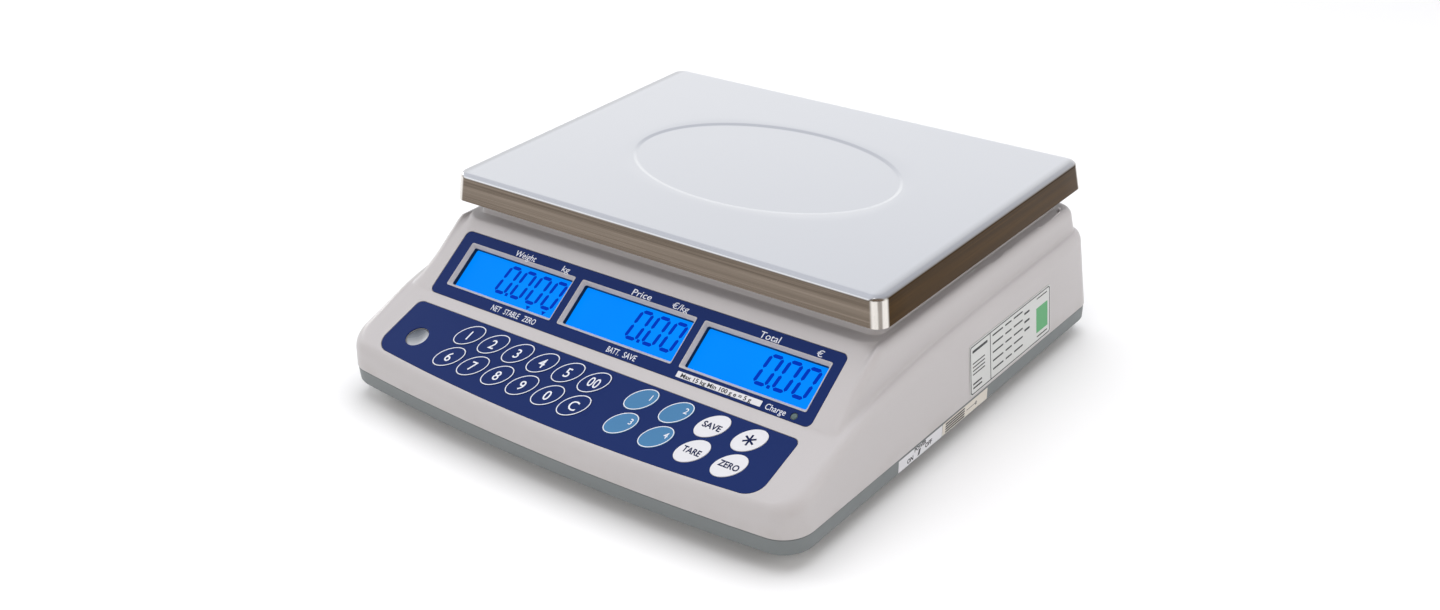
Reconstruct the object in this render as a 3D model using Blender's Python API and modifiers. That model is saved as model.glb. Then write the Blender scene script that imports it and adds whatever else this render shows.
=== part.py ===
"""Tabletop price-computing scale: low two-part housing, sloped display and keypad, steel platter.

Metres, +Z up, +X to the operator's right, +Y away from the operator. The origin is the centre of the
footprint on the table. Run with: blender --background --python part.py
"""

import math

import bmesh
import bpy
from mathutils import Matrix, Vector

# ---------------------------------------------------------------- driving dimensions
GAP = 0.0003  # clearance between pieces that touch

HALF_WIDTH = 0.1606  # of the housing at its parting line
FRONT_Y = -0.1585  # middle of the bowed front edge
REAR_Y = 0.1585
BOW_RADIUS = 1.5
FRONT_CORNER = 0.018
REAR_CORNER = 0.015
FOOT_GAP = 0.010  # table to underside
BASE_HEIGHT = 0.0104
PARTING_Z = FOOT_GAP + BASE_HEIGHT
PARTING_GAP = 0.0005
SHELL = 0.0024
FLOOR = 0.0025

KEYPAD_SLOPE = math.radians(18.688)
KEYPAD_ORIGIN = Vector((0.0, -0.1615, 0.0328))  # where keypad height s is zero
DISPLAY_SLOPE = math.radians(34.63)
DISPLAY_ORIGIN = Vector((0.0, -0.1015, 0.0537))

WALL_DRAFT = 0.055  # inward lean of the skirt per metre of height
SHOULDER_START_Y = -0.1065  # the skirt's top leaves the keypad plane here
SHOULDER_RISE = 0.0165
SHOULDER_DEPTH = 0.008  # height of the rounding at the top of the skirt
FRONT_ROUNDING = 0.0045  # inset of that rounding at the front, the keypad's sides and behind
KEYPAD_SIDE_ROUNDING = 0.008
REAR_ROUNDING = 0.0046
VALLEY_INSET = 0.0070  # from the skirt to the foot of the raised block
VALLEY_CORNER = 0.0057
BLOCK_LEAN = 0.0025
BLOCK_CORNER = 0.008
BLOCK_EDGE = 0.004
SLOPE_EDGE = 0.007
SLOPE_FOOT = 0.0025
LEDGE_Z = 0.0830
LEDGE_INSET = 0.0006  # of the ledge's outline from the block's rounded edge
LEDGE_CORNER = 0.012
PLATEAU_Z = 0.0959
PLATEAU_HALF = 0.142
PLATEAU_FRONT = -0.0500
PLATEAU_REAR = 0.1405
PLATEAU_EDGE = 0.0032
PLATEAU_CORNER = 0.007
PLATEAU_FLARE = 0.0006  # of the step's wall where it meets the ledge

PAN_Y = 0.0470  # weighing centre, behind the footprint's centre
PAN_TOP = 0.1098
PAN_HALF_X = 0.150
PAN_HALF_Y = 0.106
PAN_CORNER = 0.0075
PAN_EDGE = 0.0025
PAN_FLANGE = 0.0164
PAN_SPLAY = 0.0017
PAN_SHEET = 0.0010
DISH_X = 0.089
DISH_Y = 0.058
DISH_STEP = 0.003
DISH_DEPTH = 0.0010

OVERLAY = 0.0008
KEYPAD_HALF = 0.136
KEYPAD_TOP = 0.0548
KEYPAD_BOTTOM = 0.0087
KEYPAD_ARC = 1.4
KEY_LONG = 0.0099
KEY_SHORT = 0.00665
KEY_TILT = math.radians(45)
KEY_TOP = 0.0001
KEY_BOTTOM = -0.0005
KEY_SEGMENTS = 16
VIAL_PLACE = (-0.116, 0.0308)
VIAL_RADIUS = 0.0071
VIAL_TOP, VIAL_BOTTOM = -0.0010, -0.0085
MEMBRANE_TOP, MEMBRANE_BOTTOM = -0.0011, -0.0014
LED_PLACE = (0.1247, 0.0027)
LED_RADIUS = 0.0020

DISPLAY_HALF = 0.1358
DISPLAY_LOW = -0.0004
DISPLAY_HIGH = 0.0429
WINDOW = (0.0815, 0.029)
WINDOW_S = 0.0215
WINDOW_PITCH = 0.0875
WINDOW_SHIFT = 0.0012
WINDOW_CORNER = 0.0008
WINDOW_CHAMFER = 0.0018
DISPLAY_CORNER = 0.0035
LCD_DEPTH = 0.0045  # display panel to the top of the glass
GLASS_SIZE = (0.083, 0.0305, 0.0018)
BEZEL_HALF = (0.1322, 0.0155)
LIGHT_SIZE = (0.256, 0.0285, 0.0024)
DISPLAY_BOARD_HALF = (0.134, 0.0155)
BOARD = 0.0016
LED_LENGTH = 0.0043

NUMBER_KEYS = (
    ("key_1", "key_2", "key_3", "key_4", "key_5", "key_double_zero"),
    ("key_6", "key_7", "key_8", "key_9", "key_0", "key_clear"),
)
PRESET_KEYS = (("key_preset_1", "key_preset_2"), ("key_preset_3", "key_preset_4"))
FUNCTION_KEYS = (("key_save", "key_star"), ("key_tare", "key_zero"))
NUMBER_START = (-0.0851, 0.0438)
NUMBER_PITCH = (0.0188, 0.0179)
PRESET_START = (0.0414, 0.0443)
FUNCTION_PITCH = (0.0235, 0.0179)
FUNCTION_START = (PRESET_START[0] + 2 * FUNCTION_PITCH[0], PRESET_START[1])

CELL = (0.130, 0.030, 0.022)
CELL_Z = 0.0404
CELL_END = 0.050  # bolt block centre from the middle of the cell
FLEXURE_RADIUS = 0.0088
FLEXURE_SHIFT = 0.014
FLEXURE_SLOT = (0.028, 0.060, 0.006)
CHASSIS_SIZE = (0.150, 0.080, 0.002)
RISER_SIDE = 0.030
STOP_RADIUS = 0.004
STOP_GAP = 0.0012  # between the stop and the cell at rest
COLUMN_RADIUS = 0.012
COLUMN_HOLE = 0.0148
PLATFORM_SINK = 0.0005  # how far the cell lets the platform down at full load
SPIDER_Z = 0.0989
SPIDER_THICK = 0.004
SPIDER_WIDTH = 0.034
SPIDER_ARM = 0.022
SPIDER_REACH = 0.010  # past the middle of each buffer
BUFFER_PLACE = (0.112, 0.070)
BUFFER_RADIUS = 0.008
BUFFER_TOP_RADIUS = 0.0065

BATTERY_SIZE = (0.060, 0.101, 0.047)
BATTERY_X = -0.112
STRAP = 0.0012
STRAP_WIDTH = 0.016
STRAP_HALF = 0.0330
STRAP_FEET = (0.008, 0.004)  # how far its left and right feet reach outwards
MAIN_BOARD_SIZE = (0.052, 0.100, BOARD)
MAIN_BOARD_PLACE = (0.113, 0.071)
MAIN_BOARD_LIFT = 0.0040
CABLE_RADIUS = 0.0016

FOOT_PLACES = {
    "front_left": (-0.132, -0.128),
    "front_right": (0.132, -0.128),
    "rear_left": (-0.132, 0.132),
    "rear_right": (0.132, 0.132),
}
FOOT_RADIUS = 0.013
FOOT_HEIGHT = 0.0085
FOOT_TAPER = 0.0015
STUD_RADIUS = 0.003
BOSS_RADIUS = 0.0065

SCREW_PLACES = {
    "front_left": (-0.095, -0.128),
    "front_right": (0.095, -0.128),
    "rear_left": (-0.072, 0.125),
    "rear_right": (0.072, 0.125),
}
SCREW_RADIUS = 0.0013
SCREW_HEAD = 0.0034
SCREW_RECESS = (0.0050, 0.0012)  # radius and depth
SCREW_REACH = 0.008  # of the thread above the parting line
POST_RADIUS = 0.0042
SWITCH_PLACE = (0.146, -0.0365)
SWITCH_SIZE = (0.013, 0.019, 0.006)
ROCKER_TILT = math.radians(8)  # each side of level
ROCKER_LIFT = 0.0020  # of its pivot above the underside
JACK_PLACE = (0.146, 0.010)
JACK_RADIUS = 0.0053
JACK_BORE = 0.0032
JACK_PIN = 0.0010
DOOR_PLACE = (-0.112, PAN_Y)
DOOR_SIZE = (0.062, 0.036, 0.0012)
DOOR_TRAVEL = 0.024
DOOR_LAP = 0.004  # of the door over its opening, on each side
DOOR_RECESS = 0.0015
GRIP_SIZE = (0.030, 0.0016, 0.0008)
GRIP_SHIFT = 0.011
PLATE_SIZE = (0.0905, 0.0305, 0.0003)
PLATE_PLACE = (0.0588, 0.0218)  # y of its middle, z of its foot
PLATE_CORNER = 0.002

# points along half an outline: bow, front corner, keypad side, display side, long side, rear corner, rear
COUNTS = {"bow": 4, "corner": 5, "keypad": 3, "display": 4, "side": 3, "rear_corner": 4, "rear": 2}

# ---------------------------------------------------------------- scene and materials
for old in list(bpy.data.objects):
    bpy.data.objects.remove(old, do_unlink=True)
scale_parts = bpy.data.collections.new("retail_scale")
cutters = bpy.data.collections.new("cutters")
bpy.context.scene.collection.children.link(scale_parts)
bpy.context.scene.collection.children.link(cutters)


def material(name, colour, roughness=0.5, metallic=0.0):
    made = bpy.data.materials.new(name)
    made.use_nodes = True
    shader = made.node_tree.nodes["Principled BSDF"]
    shader.inputs["Base Color"].default_value = (*colour, 1.0)
    shader.inputs["Roughness"].default_value = roughness
    shader.inputs["Metallic"].default_value = metallic
    return made


HOUSING_GREY = material("housing_grey", (0.58, 0.56, 0.57), 0.42)
BASE_GREY = material("base_grey", (0.16, 0.17, 0.17), 0.5)
OVERLAY_BLUE = material("overlay_blue", (0.022, 0.040, 0.165), 0.35)
PRESET_BLUE = material("preset_blue", (0.10, 0.26, 0.46), 0.35)
KEY_WHITE = material("key_white", (0.72, 0.72, 0.75), 0.35)
STEEL = material("brushed_steel", (0.60, 0.59, 0.57), 0.28, 1.0)
ZINC = material("zinc_plate", (0.50, 0.50, 0.50), 0.4, 1.0)
ALUMINIUM = material("aluminium", (0.72, 0.72, 0.73), 0.35, 1.0)
CAST_METAL = material("cast_metal", (0.32, 0.32, 0.33), 0.6, 0.6)
RUBBER = material("black_rubber", (0.02, 0.02, 0.02), 0.8)
BLACK_PLASTIC = material("black_plastic", (0.015, 0.015, 0.016), 0.45)
LCD_BLUE = material("lcd_blue", (0.0, 0.23, 0.98), 0.15)
LIGHT_GUIDE = material("light_guide", (0.75, 0.80, 0.85), 0.3)
BOARD_GREEN = material("board_green", (0.02, 0.16, 0.06), 0.5)
MEMBRANE_CLEAR = material("membrane_film", (0.55, 0.55, 0.50), 0.3)
BATTERY_BLACK = material("battery_case", (0.03, 0.03, 0.035), 0.5)
LABEL_WHITE = material("label_white", (0.70, 0.71, 0.70), 0.4)
LED_GREY = material("led_grey", (0.13, 0.20, 0.19), 0.2)
VIAL_SILVER = material("vial_acrylic", (0.35, 0.38, 0.42), 0.15)
WIRE_GREY = material("wire_grey", (0.25, 0.25, 0.26), 0.6)


# ---------------------------------------------------------------- small modelling tools
def add_object(name, mesh, finish, place=None):
    """Put a mesh in the parts collection, at a place given as a matrix."""
    thing = bpy.data.objects.new(name, mesh)
    scale_parts.objects.link(thing)
    if not mesh.materials:
        mesh.materials.append(finish)
    if place is not None:
        thing.matrix_world = place
    return thing


def to_mesh(bm, name, smooth=False):
    mesh = bpy.data.meshes.new(name)
    bm.to_mesh(mesh)
    bm.free()
    if smooth:
        mesh.shade_smooth()
        mesh.set_sharp_from_angle(angle=math.radians(35))
    return mesh


def prism(outline, low, high, holes=()):
    """Extrude a flat outline (x, y points, anticlockwise) from low to high, with straight holes."""
    bm = bmesh.new()
    if holes:
        edges = []
        for loop in (outline, *holes):
            verts = [bm.verts.new((x, y, low)) for x, y in loop]
            edges += [bm.edges.new((verts[i - 1], verts[i])) for i in range(len(verts))]
        bmesh.ops.triangle_fill(bm, edges=edges, use_beauty=True, normal=(0, 0, -1))
    else:
        bm.faces.new([bm.verts.new((x, y, low)) for x, y in outline])
    raised = bmesh.ops.extrude_face_region(bm, geom=bm.faces[:])
    top = [item for item in raised["geom"] if isinstance(item, bmesh.types.BMVert)]
    bmesh.ops.translate(bm, verts=top, vec=(0, 0, high - low))
    bmesh.ops.recalc_face_normals(bm, faces=bm.faces[:])
    return bm


def box(size, centre):
    bm = bmesh.new()
    bmesh.ops.create_cube(bm, size=1.0)
    bmesh.ops.scale(bm, vec=size, verts=bm.verts[:])
    bmesh.ops.translate(bm, vec=centre, verts=bm.verts[:])
    return bm


def cylinder(radius, low, high, centre=(0, 0), segments=20, top_radius=None):
    bm = bmesh.new()
    top_radius = radius if top_radius is None else top_radius
    bmesh.ops.create_cone(
        bm, cap_ends=True, segments=segments, radius1=radius, radius2=top_radius, depth=high - low
    )
    bmesh.ops.translate(bm, vec=(*centre, (low + high) / 2), verts=bm.verts[:])
    return bm


def arc(centre, radius, start, end, steps, radius_y=None):
    """Points from start to end degrees round a centre."""
    radius_y = radius if radius_y is None else radius_y
    angles = [math.radians(start + (end - start) * i / steps) for i in range(steps + 1)]
    return [(centre[0] + radius * math.cos(a), centre[1] + radius_y * math.sin(a)) for a in angles]


def rounded_rectangle(half_x, half_y, radius, centre=(0, 0), steps=4):
    points = []
    for turn, (sx, sy) in enumerate(((1, 1), (-1, 1), (-1, -1), (1, -1))):
        corner = (centre[0] + sx * (half_x - radius), centre[1] + sy * (half_y - radius))
        points += arc(corner, radius, 90 * turn, 90 * turn + 90, steps)
    return points


def tilted_oval(long_half, short_half, tilt, centre=(0, 0), segments=KEY_SEGMENTS):
    points = []
    for x, y in arc((0, 0), long_half, 0, 360 - 360 / segments, segments - 1, short_half):
        points.append(
            (
                centre[0] + x * math.cos(tilt) - y * math.sin(tilt),
                centre[1] + x * math.sin(tilt) + y * math.cos(tilt),
            )
        )
    return points


def circle(centre, radius, segments=20):
    return tilted_oval(radius, radius, 0, centre, segments)


def plane_frame(origin, slope):
    """Matrix of a sloped panel: local x across, local y up the slope, local z out of it."""
    return Matrix.Translation(origin) @ Matrix.Rotation(slope, 4, "X")


KEYPAD = plane_frame(KEYPAD_ORIGIN, KEYPAD_SLOPE)
DISPLAY = plane_frame(DISPLAY_ORIGIN, DISPLAY_SLOPE)


def boolean(target, bm, operation="DIFFERENCE", place=None, name="cutter"):
    """Cut or join a shape with an EXACT Boolean modifier; the shape stays as a hidden cutter."""
    tool = bpy.data.objects.new(f"{target.name}_{name}", to_mesh(bm, name))
    cutters.objects.link(tool)
    tool.hide_render = True
    tool.display_type = "WIRE"
    if place is not None:
        tool.matrix_world = place
    modifier = target.modifiers.new(name, "BOOLEAN")
    modifier.operation = operation
    modifier.solver = "EXACT"
    modifier.object = tool


# ---------------------------------------------------------------- housing surface by rings
def smooth_step(low, high, value):
    t = min(max((value - low) / (high - low), 0.0), 1.0)
    return t * t * (3 - 2 * t)


def keypad_height(y):
    return KEYPAD_ORIGIN.z + (y - KEYPAD_ORIGIN.y) * math.tan(KEYPAD_SLOPE)


def display_height(y):
    return DISPLAY_ORIGIN.z + (y - DISPLAY_ORIGIN.y) * math.tan(DISPLAY_SLOPE)


def shoulder_height(y):
    """Top of the skirt: the keypad plane, then a curve that levels off towards the rear."""
    if y <= SHOULDER_START_Y:
        return keypad_height(y)
    fade = math.exp(-(y - SHOULDER_START_Y) * math.tan(KEYPAD_SLOPE) / SHOULDER_RISE)
    return keypad_height(SHOULDER_START_Y) + SHOULDER_RISE * (1 - fade)


def block_height(y):
    """Top of the raised block: the display plane up to the level ledge."""
    return min(display_height(y), LEDGE_Z)


def crossing(first_origin, first_slope, second_origin, second_slope):
    """y where two sloped panels meet."""
    a, b = math.tan(first_slope), math.tan(second_slope)
    rise = second_origin.z - b * second_origin.y - first_origin.z + a * first_origin.y
    return rise / (a - b)


CREASE_Y = crossing(KEYPAD_ORIGIN, KEYPAD_SLOPE, DISPLAY_ORIGIN, DISPLAY_SLOPE)
DISPLAY_SIDE_Y = CREASE_Y + VALLEY_CORNER
LEDGE_FRONT_Y = DISPLAY_ORIGIN.y + (LEDGE_Z - DISPLAY_ORIGIN.z) / math.tan(DISPLAY_SLOPE)
LONG_SIDE_Y = LEDGE_FRONT_Y + 0.012


def steps(count):
    """Fractions 1/count to 1."""
    return [(i + 1) / count for i in range(count)]


def footprint(n):
    """Right half of the parting outline, front centre to rear centre: x, y and outward normal."""
    centre_x = HALF_WIDTH - FRONT_CORNER
    inner = BOW_RADIUS - FRONT_CORNER
    bow_centre = FRONT_Y + BOW_RADIUS
    centre_y = bow_centre - math.sqrt(inner**2 - centre_x**2)
    sweep = math.asin(centre_x / inner)
    points = []
    for t in [0.0] + steps(n["bow"]):
        normal = (math.sin(sweep * t), -math.cos(sweep * t))
        points.append((BOW_RADIUS * normal[0], bow_centre + BOW_RADIUS * normal[1], *normal))
    for t in steps(n["corner"]):
        a = (sweep - math.pi / 2) * (1 - t)
        normal = (math.cos(a), math.sin(a))
        points.append((centre_x + FRONT_CORNER * normal[0], centre_y + FRONT_CORNER * normal[1], *normal))
    stations = (
        (centre_y, DISPLAY_SIDE_Y, n["keypad"]),
        (DISPLAY_SIDE_Y, LONG_SIDE_Y, n["display"]),
        (LONG_SIDE_Y, REAR_Y - REAR_CORNER, n["side"]),
    )
    for start, end, count in stations:
        points += [(HALF_WIDTH, start + (end - start) * t, 1.0, 0.0) for t in steps(count)]
    for t in steps(n["rear_corner"]):
        normal = (math.cos(t * math.pi / 2), math.sin(t * math.pi / 2))
        x = HALF_WIDTH - REAR_CORNER + REAR_CORNER * normal[0]
        points.append((x, REAR_Y - REAR_CORNER + REAR_CORNER * normal[1], *normal))
    points += [((HALF_WIDTH - REAR_CORNER) * (1 - t), REAR_Y, 0.0, 1.0) for t in steps(n["rear"])]
    return points


def inset_ring(n, inset, height):
    """Footprint moved inwards; inset and height are numbers or functions of the outline point."""
    ring = []
    for x, y, nx, ny in footprint(n):
        d = inset(y, nx) if callable(inset) else inset
        moved = (x - nx * d, y - ny * d)
        ring.append((*moved, height(moved[1]) if callable(height) else height))
    return ring


def shoulder_rounding(y, nx):
    side = KEYPAD_SIDE_ROUNDING + (REAR_ROUNDING - KEYPAD_SIDE_ROUNDING) * smooth_step(-0.135, -0.100, y)
    return FRONT_ROUNDING + (side - FRONT_ROUNDING) * smooth_step(0.1, 1.0, nx) if y < 0 else REAR_ROUNDING


def skirt_ring(n, angle):
    """A ring on the rounding at the top of the skirt: 0 degrees at the wall, 90 at the top."""
    across = 1 - math.cos(math.radians(angle))
    down = SHOULDER_DEPTH * (1 - math.sin(math.radians(angle)))

    def inset(y, nx):
        wall = WALL_DRAFT * (shoulder_height(y) - SHOULDER_DEPTH - PARTING_Z)
        return wall + shoulder_rounding(y, nx) * across

    return inset_ring(n, inset, lambda y: shoulder_height(y) - down)


def block_ring(n, level, lean, angle):
    """A ring on the raised block: level 0 at the valley, 1 where its rounded edge ends.

    lean is how far up the wall the ring is; angle is its place on the edge rounding."""
    foot = level * SLOPE_FOOT
    across = 1 - math.cos(math.radians(angle))
    up = math.sin(math.radians(angle))

    def half_width(y):
        on_slope = 1 - smooth_step(DISPLAY_SIDE_Y, LEDGE_FRONT_Y, y)
        edge = BLOCK_EDGE + (SLOPE_EDGE - BLOCK_EDGE) * on_slope
        return HALF_WIDTH - VALLEY_INSET - BLOCK_LEAN * lean - edge * across

    def height(y):
        rise = block_height(y) - shoulder_height(y)
        edge = min(BLOCK_EDGE * 1.6, 0.6 * rise)
        return shoulder_height(y) + (rise - edge) * lean + edge * up

    rear = REAR_Y - VALLEY_INSET - BLOCK_LEAN * lean - BLOCK_EDGE * across
    start_x = half_width(DISPLAY_SIDE_Y) - VALLEY_CORNER
    outline = [(start_x * i / n["bow"], CREASE_Y + foot) for i in range(n["bow"] + 1)]
    for t in steps(n["corner"] + n["keypad"]):
        a = t * math.pi / 2
        x = start_x + VALLEY_CORNER * math.sin(a)
        outline.append((x, DISPLAY_SIDE_Y - (VALLEY_CORNER - foot) * math.cos(a)))
    for start, end, count in (
        (DISPLAY_SIDE_Y, LONG_SIDE_Y, n["display"]),
        (LONG_SIDE_Y, rear - BLOCK_CORNER, n["side"]),
    ):
        for t in steps(count):
            y = start + (end - start) * t
            outline.append((half_width(y), y))
    outline += rear_end(n, half_width(rear), rear, BLOCK_CORNER)
    return [(x, y, height(y)) for x, y in outline]


def rear_end(n, half, rear, corner):
    """Rear corner and rear edge of a ring, after its long side."""
    points = []
    for t in steps(n["rear_corner"]):
        a = t * math.pi / 2
        points.append((half - corner + corner * math.cos(a), rear - corner + corner * math.sin(a)))
    points += [((half - corner) * (1 - t), rear) for t in steps(n["rear"])]
    return points


def top_ring(n, half, front, rear, corner, z):
    """A level rounded-rectangle ring; its front corner takes the points of the display's side."""
    straight = n["bow"] + n["corner"] + n["keypad"]
    outline = [((half - corner) * i / straight, front) for i in range(straight + 1)]
    for t in steps(n["display"]):
        a = (t - 1) * math.pi / 2
        outline.append((half - corner + corner * math.cos(a), front + corner + corner * math.sin(a)))
    for t in steps(n["side"]):
        outline.append((half, front + corner + (rear - front - 2 * corner) * t))
    outline += rear_end(n, half, rear, corner)
    return [(x, y, z) for x, y in outline]


def loft(rings, close_first=False, close_last=False):
    """Skin half rings, mirrored to whole loops, into one surface."""
    bm = bmesh.new()
    loops = []
    for ring in rings:
        whole = ring + [(-x, y, z) for x, y, z in ring[-2:0:-1]]
        loops.append([bm.verts.new(point) for point in whole])
    for low, high in zip(loops, loops[1:]):
        for i in range(len(low)):
            bm.faces.new((low[i - 1], low[i], high[i], high[i - 1]))
    if close_first:
        bm.faces.new(loops[0][::-1])
    if close_last:
        bm.faces.new(loops[-1])
    return bm


def housing_rings(n):
    rings = [inset_ring(n, 0.0, PARTING_Z)]
    rings += [skirt_ring(n, angle) for angle in (0, 30, 60, 90)]
    rings += [block_ring(n, 0.0, 0.0, 0), block_ring(n, 0.4, 1.0, 0)]
    rings += [block_ring(n, 0.4 + 0.2 * i, 1.0, 30 * i) for i in (1, 2, 3)]
    inset = VALLEY_INSET + BLOCK_LEAN + BLOCK_EDGE + LEDGE_INSET
    rings.append(top_ring(n, HALF_WIDTH - inset, LEDGE_FRONT_Y, REAR_Y - inset, LEDGE_CORNER, LEDGE_Z))
    rings.append(plateau_ring(n, -PLATEAU_FLARE, LEDGE_Z))
    for angle in (0, 30, 60, 90):
        inset = PLATEAU_EDGE * (1 - math.cos(math.radians(angle)))
        z = PLATEAU_Z - PLATEAU_EDGE * (1 - math.sin(math.radians(angle)))
        rings.append(plateau_ring(n, inset, z))
    return rings


def plateau_ring(n, inset, z):
    """A ring of the raised step under the platter."""
    front, rear = PLATEAU_FRONT + inset, PLATEAU_REAR - inset
    return top_ring(n, PLATEAU_HALF - inset, front, rear, PLATEAU_CORNER, z)


# ---------------------------------------------------------------- housing
def make_upper_housing():
    mesh = to_mesh(loft(housing_rings(COUNTS), close_last=True), "upper_housing", smooth=True)
    shell = add_object("upper_housing", mesh, HOUSING_GREY)
    thickness = shell.modifiers.new("shell", "SOLIDIFY")
    thickness.thickness = SHELL
    thickness.offset = -1
    thickness.use_even_offset = True
    for place, (x, y) in SCREW_PLACES.items():
        boolean(shell, screw_post(x, y), "UNION", name=f"post_{place}")
    recess_floor = 0.0017
    boolean(shell, prism(keypad_outline(GAP), -recess_floor, 0.01), place=KEYPAD, name="keypad_recess")
    half = (DISPLAY_HIGH - DISPLAY_LOW) / 2
    middle = (DISPLAY_HIGH + DISPLAY_LOW) / 2
    frame = rounded_rectangle(DISPLAY_HALF + GAP, half + GAP, DISPLAY_CORNER + GAP, (0, middle))
    boolean(shell, prism(frame, -OVERLAY - GAP, 0.01), place=DISPLAY, name="display_recess")
    for i, x in enumerate(window_centres()):
        boolean(shell, window_cutter(x), place=DISPLAY, name=f"window_{i + 1}")
    boolean(shell, cylinder(VIAL_RADIUS, -0.02, 0.01, VIAL_PLACE), place=KEYPAD, name="vial_hole")
    boolean(shell, cylinder(LED_RADIUS + GAP, -0.02, 0.01, LED_PLACE, 12), place=DISPLAY, name="led_hole")
    boolean(shell, cylinder(COLUMN_HOLE, 0.08, 0.11, (CELL_END, PAN_Y), 24), name="column_hole")


def screw_post(x, y):
    """Boss that a case screw bites into; its top follows the wall above it."""
    post = cylinder(POST_RADIUS, PARTING_Z + PARTING_GAP, 0.05, (x, y), 12)
    hole_top = 0.010
    for vert in post.verts:
        if vert.co.z > 0.04:
            on_keypad = vert.co.y < CREASE_Y
            roof = keypad_height(vert.co.y) if on_keypad else PLATEAU_Z
            vert.co.z = roof - SHELL / 2
    drill = cylinder(0.0016, PARTING_Z, PARTING_Z + hole_top, (x, y), 8)
    return subtract(post, drill)


def subtract(body, drill):
    """Solid with a blind hole, worked out at once so that it can be a Boolean's tool."""
    objects = []
    for bm in (body, drill):
        thing = bpy.data.objects.new("drilled", to_mesh(bm, "drilled"))
        cutters.objects.link(thing)
        objects.append(thing)
    modifier = objects[0].modifiers.new("drill", "BOOLEAN")
    modifier.solver = "EXACT"
    modifier.object = objects[1]
    bpy.context.view_layer.update()
    evaluated = objects[0].evaluated_get(bpy.context.evaluated_depsgraph_get())
    result = bmesh.new()
    result.from_mesh(evaluated.to_mesh())
    evaluated.to_mesh_clear()
    for thing in objects:
        bpy.data.objects.remove(thing, do_unlink=True)
    return result


def window_centres():
    return [WINDOW_SHIFT + WINDOW_PITCH * i for i in (-1, 0, 1)]


def window_cutter(x):
    """Opening over one display, bevelled on its outer edge."""
    half_x, half_y = WINDOW[0] / 2, WINDOW[1] / 2
    slant = WINDOW_CHAMFER
    bm = bmesh.new()
    loops = []
    for inset, z in ((0.0, 0.002), (0.0, -OVERLAY), (slant, -OVERLAY - slant), (slant, -0.02)):
        points = rounded_rectangle(half_x - inset, half_y - inset, WINDOW_CORNER, (x, WINDOW_S), 1)
        loops.append([bm.verts.new((px, py, z)) for px, py in points])
    for high, low in zip(loops, loops[1:]):
        for i in range(len(low)):
            bm.faces.new((low[i - 1], low[i], high[i], high[i - 1]))
    bm.faces.new(loops[0])
    bm.faces.new(loops[-1][::-1])
    return bm


def make_lower_housing():
    top = PARTING_Z - PARTING_GAP
    bottom = FOOT_GAP
    profile = (
        (0.0036, bottom + FLOOR),
        (0.0034, top - 0.0020),
        (0.0050, top - 0.0010),
        (0.0050, PARTING_Z + 0.0040),
        (0.0035, PARTING_Z + 0.0040),
        (0.0035, top),
        (0.0002, top),
        (0.0006, bottom + 0.0014),
        (0.0012, bottom + 0.0004),
        (0.0024, bottom),
    )
    rings = [inset_ring(COUNTS, inset, z) for inset, z in profile[::-1]]
    base = add_object(
        "lower_housing",
        to_mesh(loft(rings, close_first=True, close_last=True), "lower_housing", smooth=True),
        BASE_GREY,
    )
    base_top = bottom + FLOOR / 2
    for place, (x, y) in FOOT_PLACES.items():
        boss = cylinder(BOSS_RADIUS, base_top, bottom + 0.0085, (x, y), 14)
        boolean(base, boss, "UNION", name=f"boss_{place}")
        boolean(base, cylinder(STUD_RADIUS + GAP, 0, 0.03, (x, y), 14), name=f"stud_{place}")
    for place, (x, y) in SCREW_PLACES.items():
        recess = cylinder(SCREW_RECESS[0], 0, bottom + SCREW_RECESS[1], (x, y), 14)
        boolean(base, recess, name=f"head_{place}")
        boolean(base, cylinder(SCREW_RADIUS + 0.0005, 0, 0.03, (x, y), 10), name=f"screw_{place}")
    x, y = SWITCH_PLACE
    hole = box((SWITCH_SIZE[0] + 2 * GAP, SWITCH_SIZE[1] + 2 * GAP, 0.03), (x, y, 0.01))
    boolean(base, hole, name="switch_hole")
    boolean(base, cylinder(JACK_RADIUS + GAP, 0, 0.03, JACK_PLACE, 20), name="jack_hole")
    x, y = DOOR_PLACE
    opening = box((DOOR_SIZE[0] - 2 * DOOR_LAP, DOOR_SIZE[1] - 2 * DOOR_LAP, 0.03), (x, y, 0.01))
    boolean(base, opening, name="door_opening")
    run = DOOR_SIZE[1] + DOOR_TRAVEL + 2 * GAP
    recess = box((DOOR_SIZE[0] + 2 * GAP, run, 2 * DOOR_RECESS), (x, y + (DOOR_TRAVEL + GAP) / 2, bottom))
    boolean(base, recess, name="door_recess")


def keypad_outline(offset=0.0):
    """Keypad overlay: straight top, sides, and a bottom edge that follows the bowed front."""
    half = KEYPAD_HALF + offset
    top = KEYPAD_TOP + offset
    top_corner = 0.004
    low_corner = 0.011

    def bottom(x):
        return KEYPAD_BOTTOM - offset + x * x / (2 * KEYPAD_ARC)

    corner_x = half - low_corner
    points = arc((half - top_corner, top - top_corner), top_corner, 0, 90, 3)
    points += arc((-half + top_corner, top - top_corner), top_corner, 90, 180, 3)
    centre_y = bottom(corner_x) + low_corner
    points += arc((-corner_x, centre_y), low_corner, 180, 270, 5)
    points += [(corner_x * i / 4, bottom(corner_x * i / 4)) for i in range(-3, 4)]
    points += arc((corner_x, centre_y), low_corner, 270, 360, 5)
    return points


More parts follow.
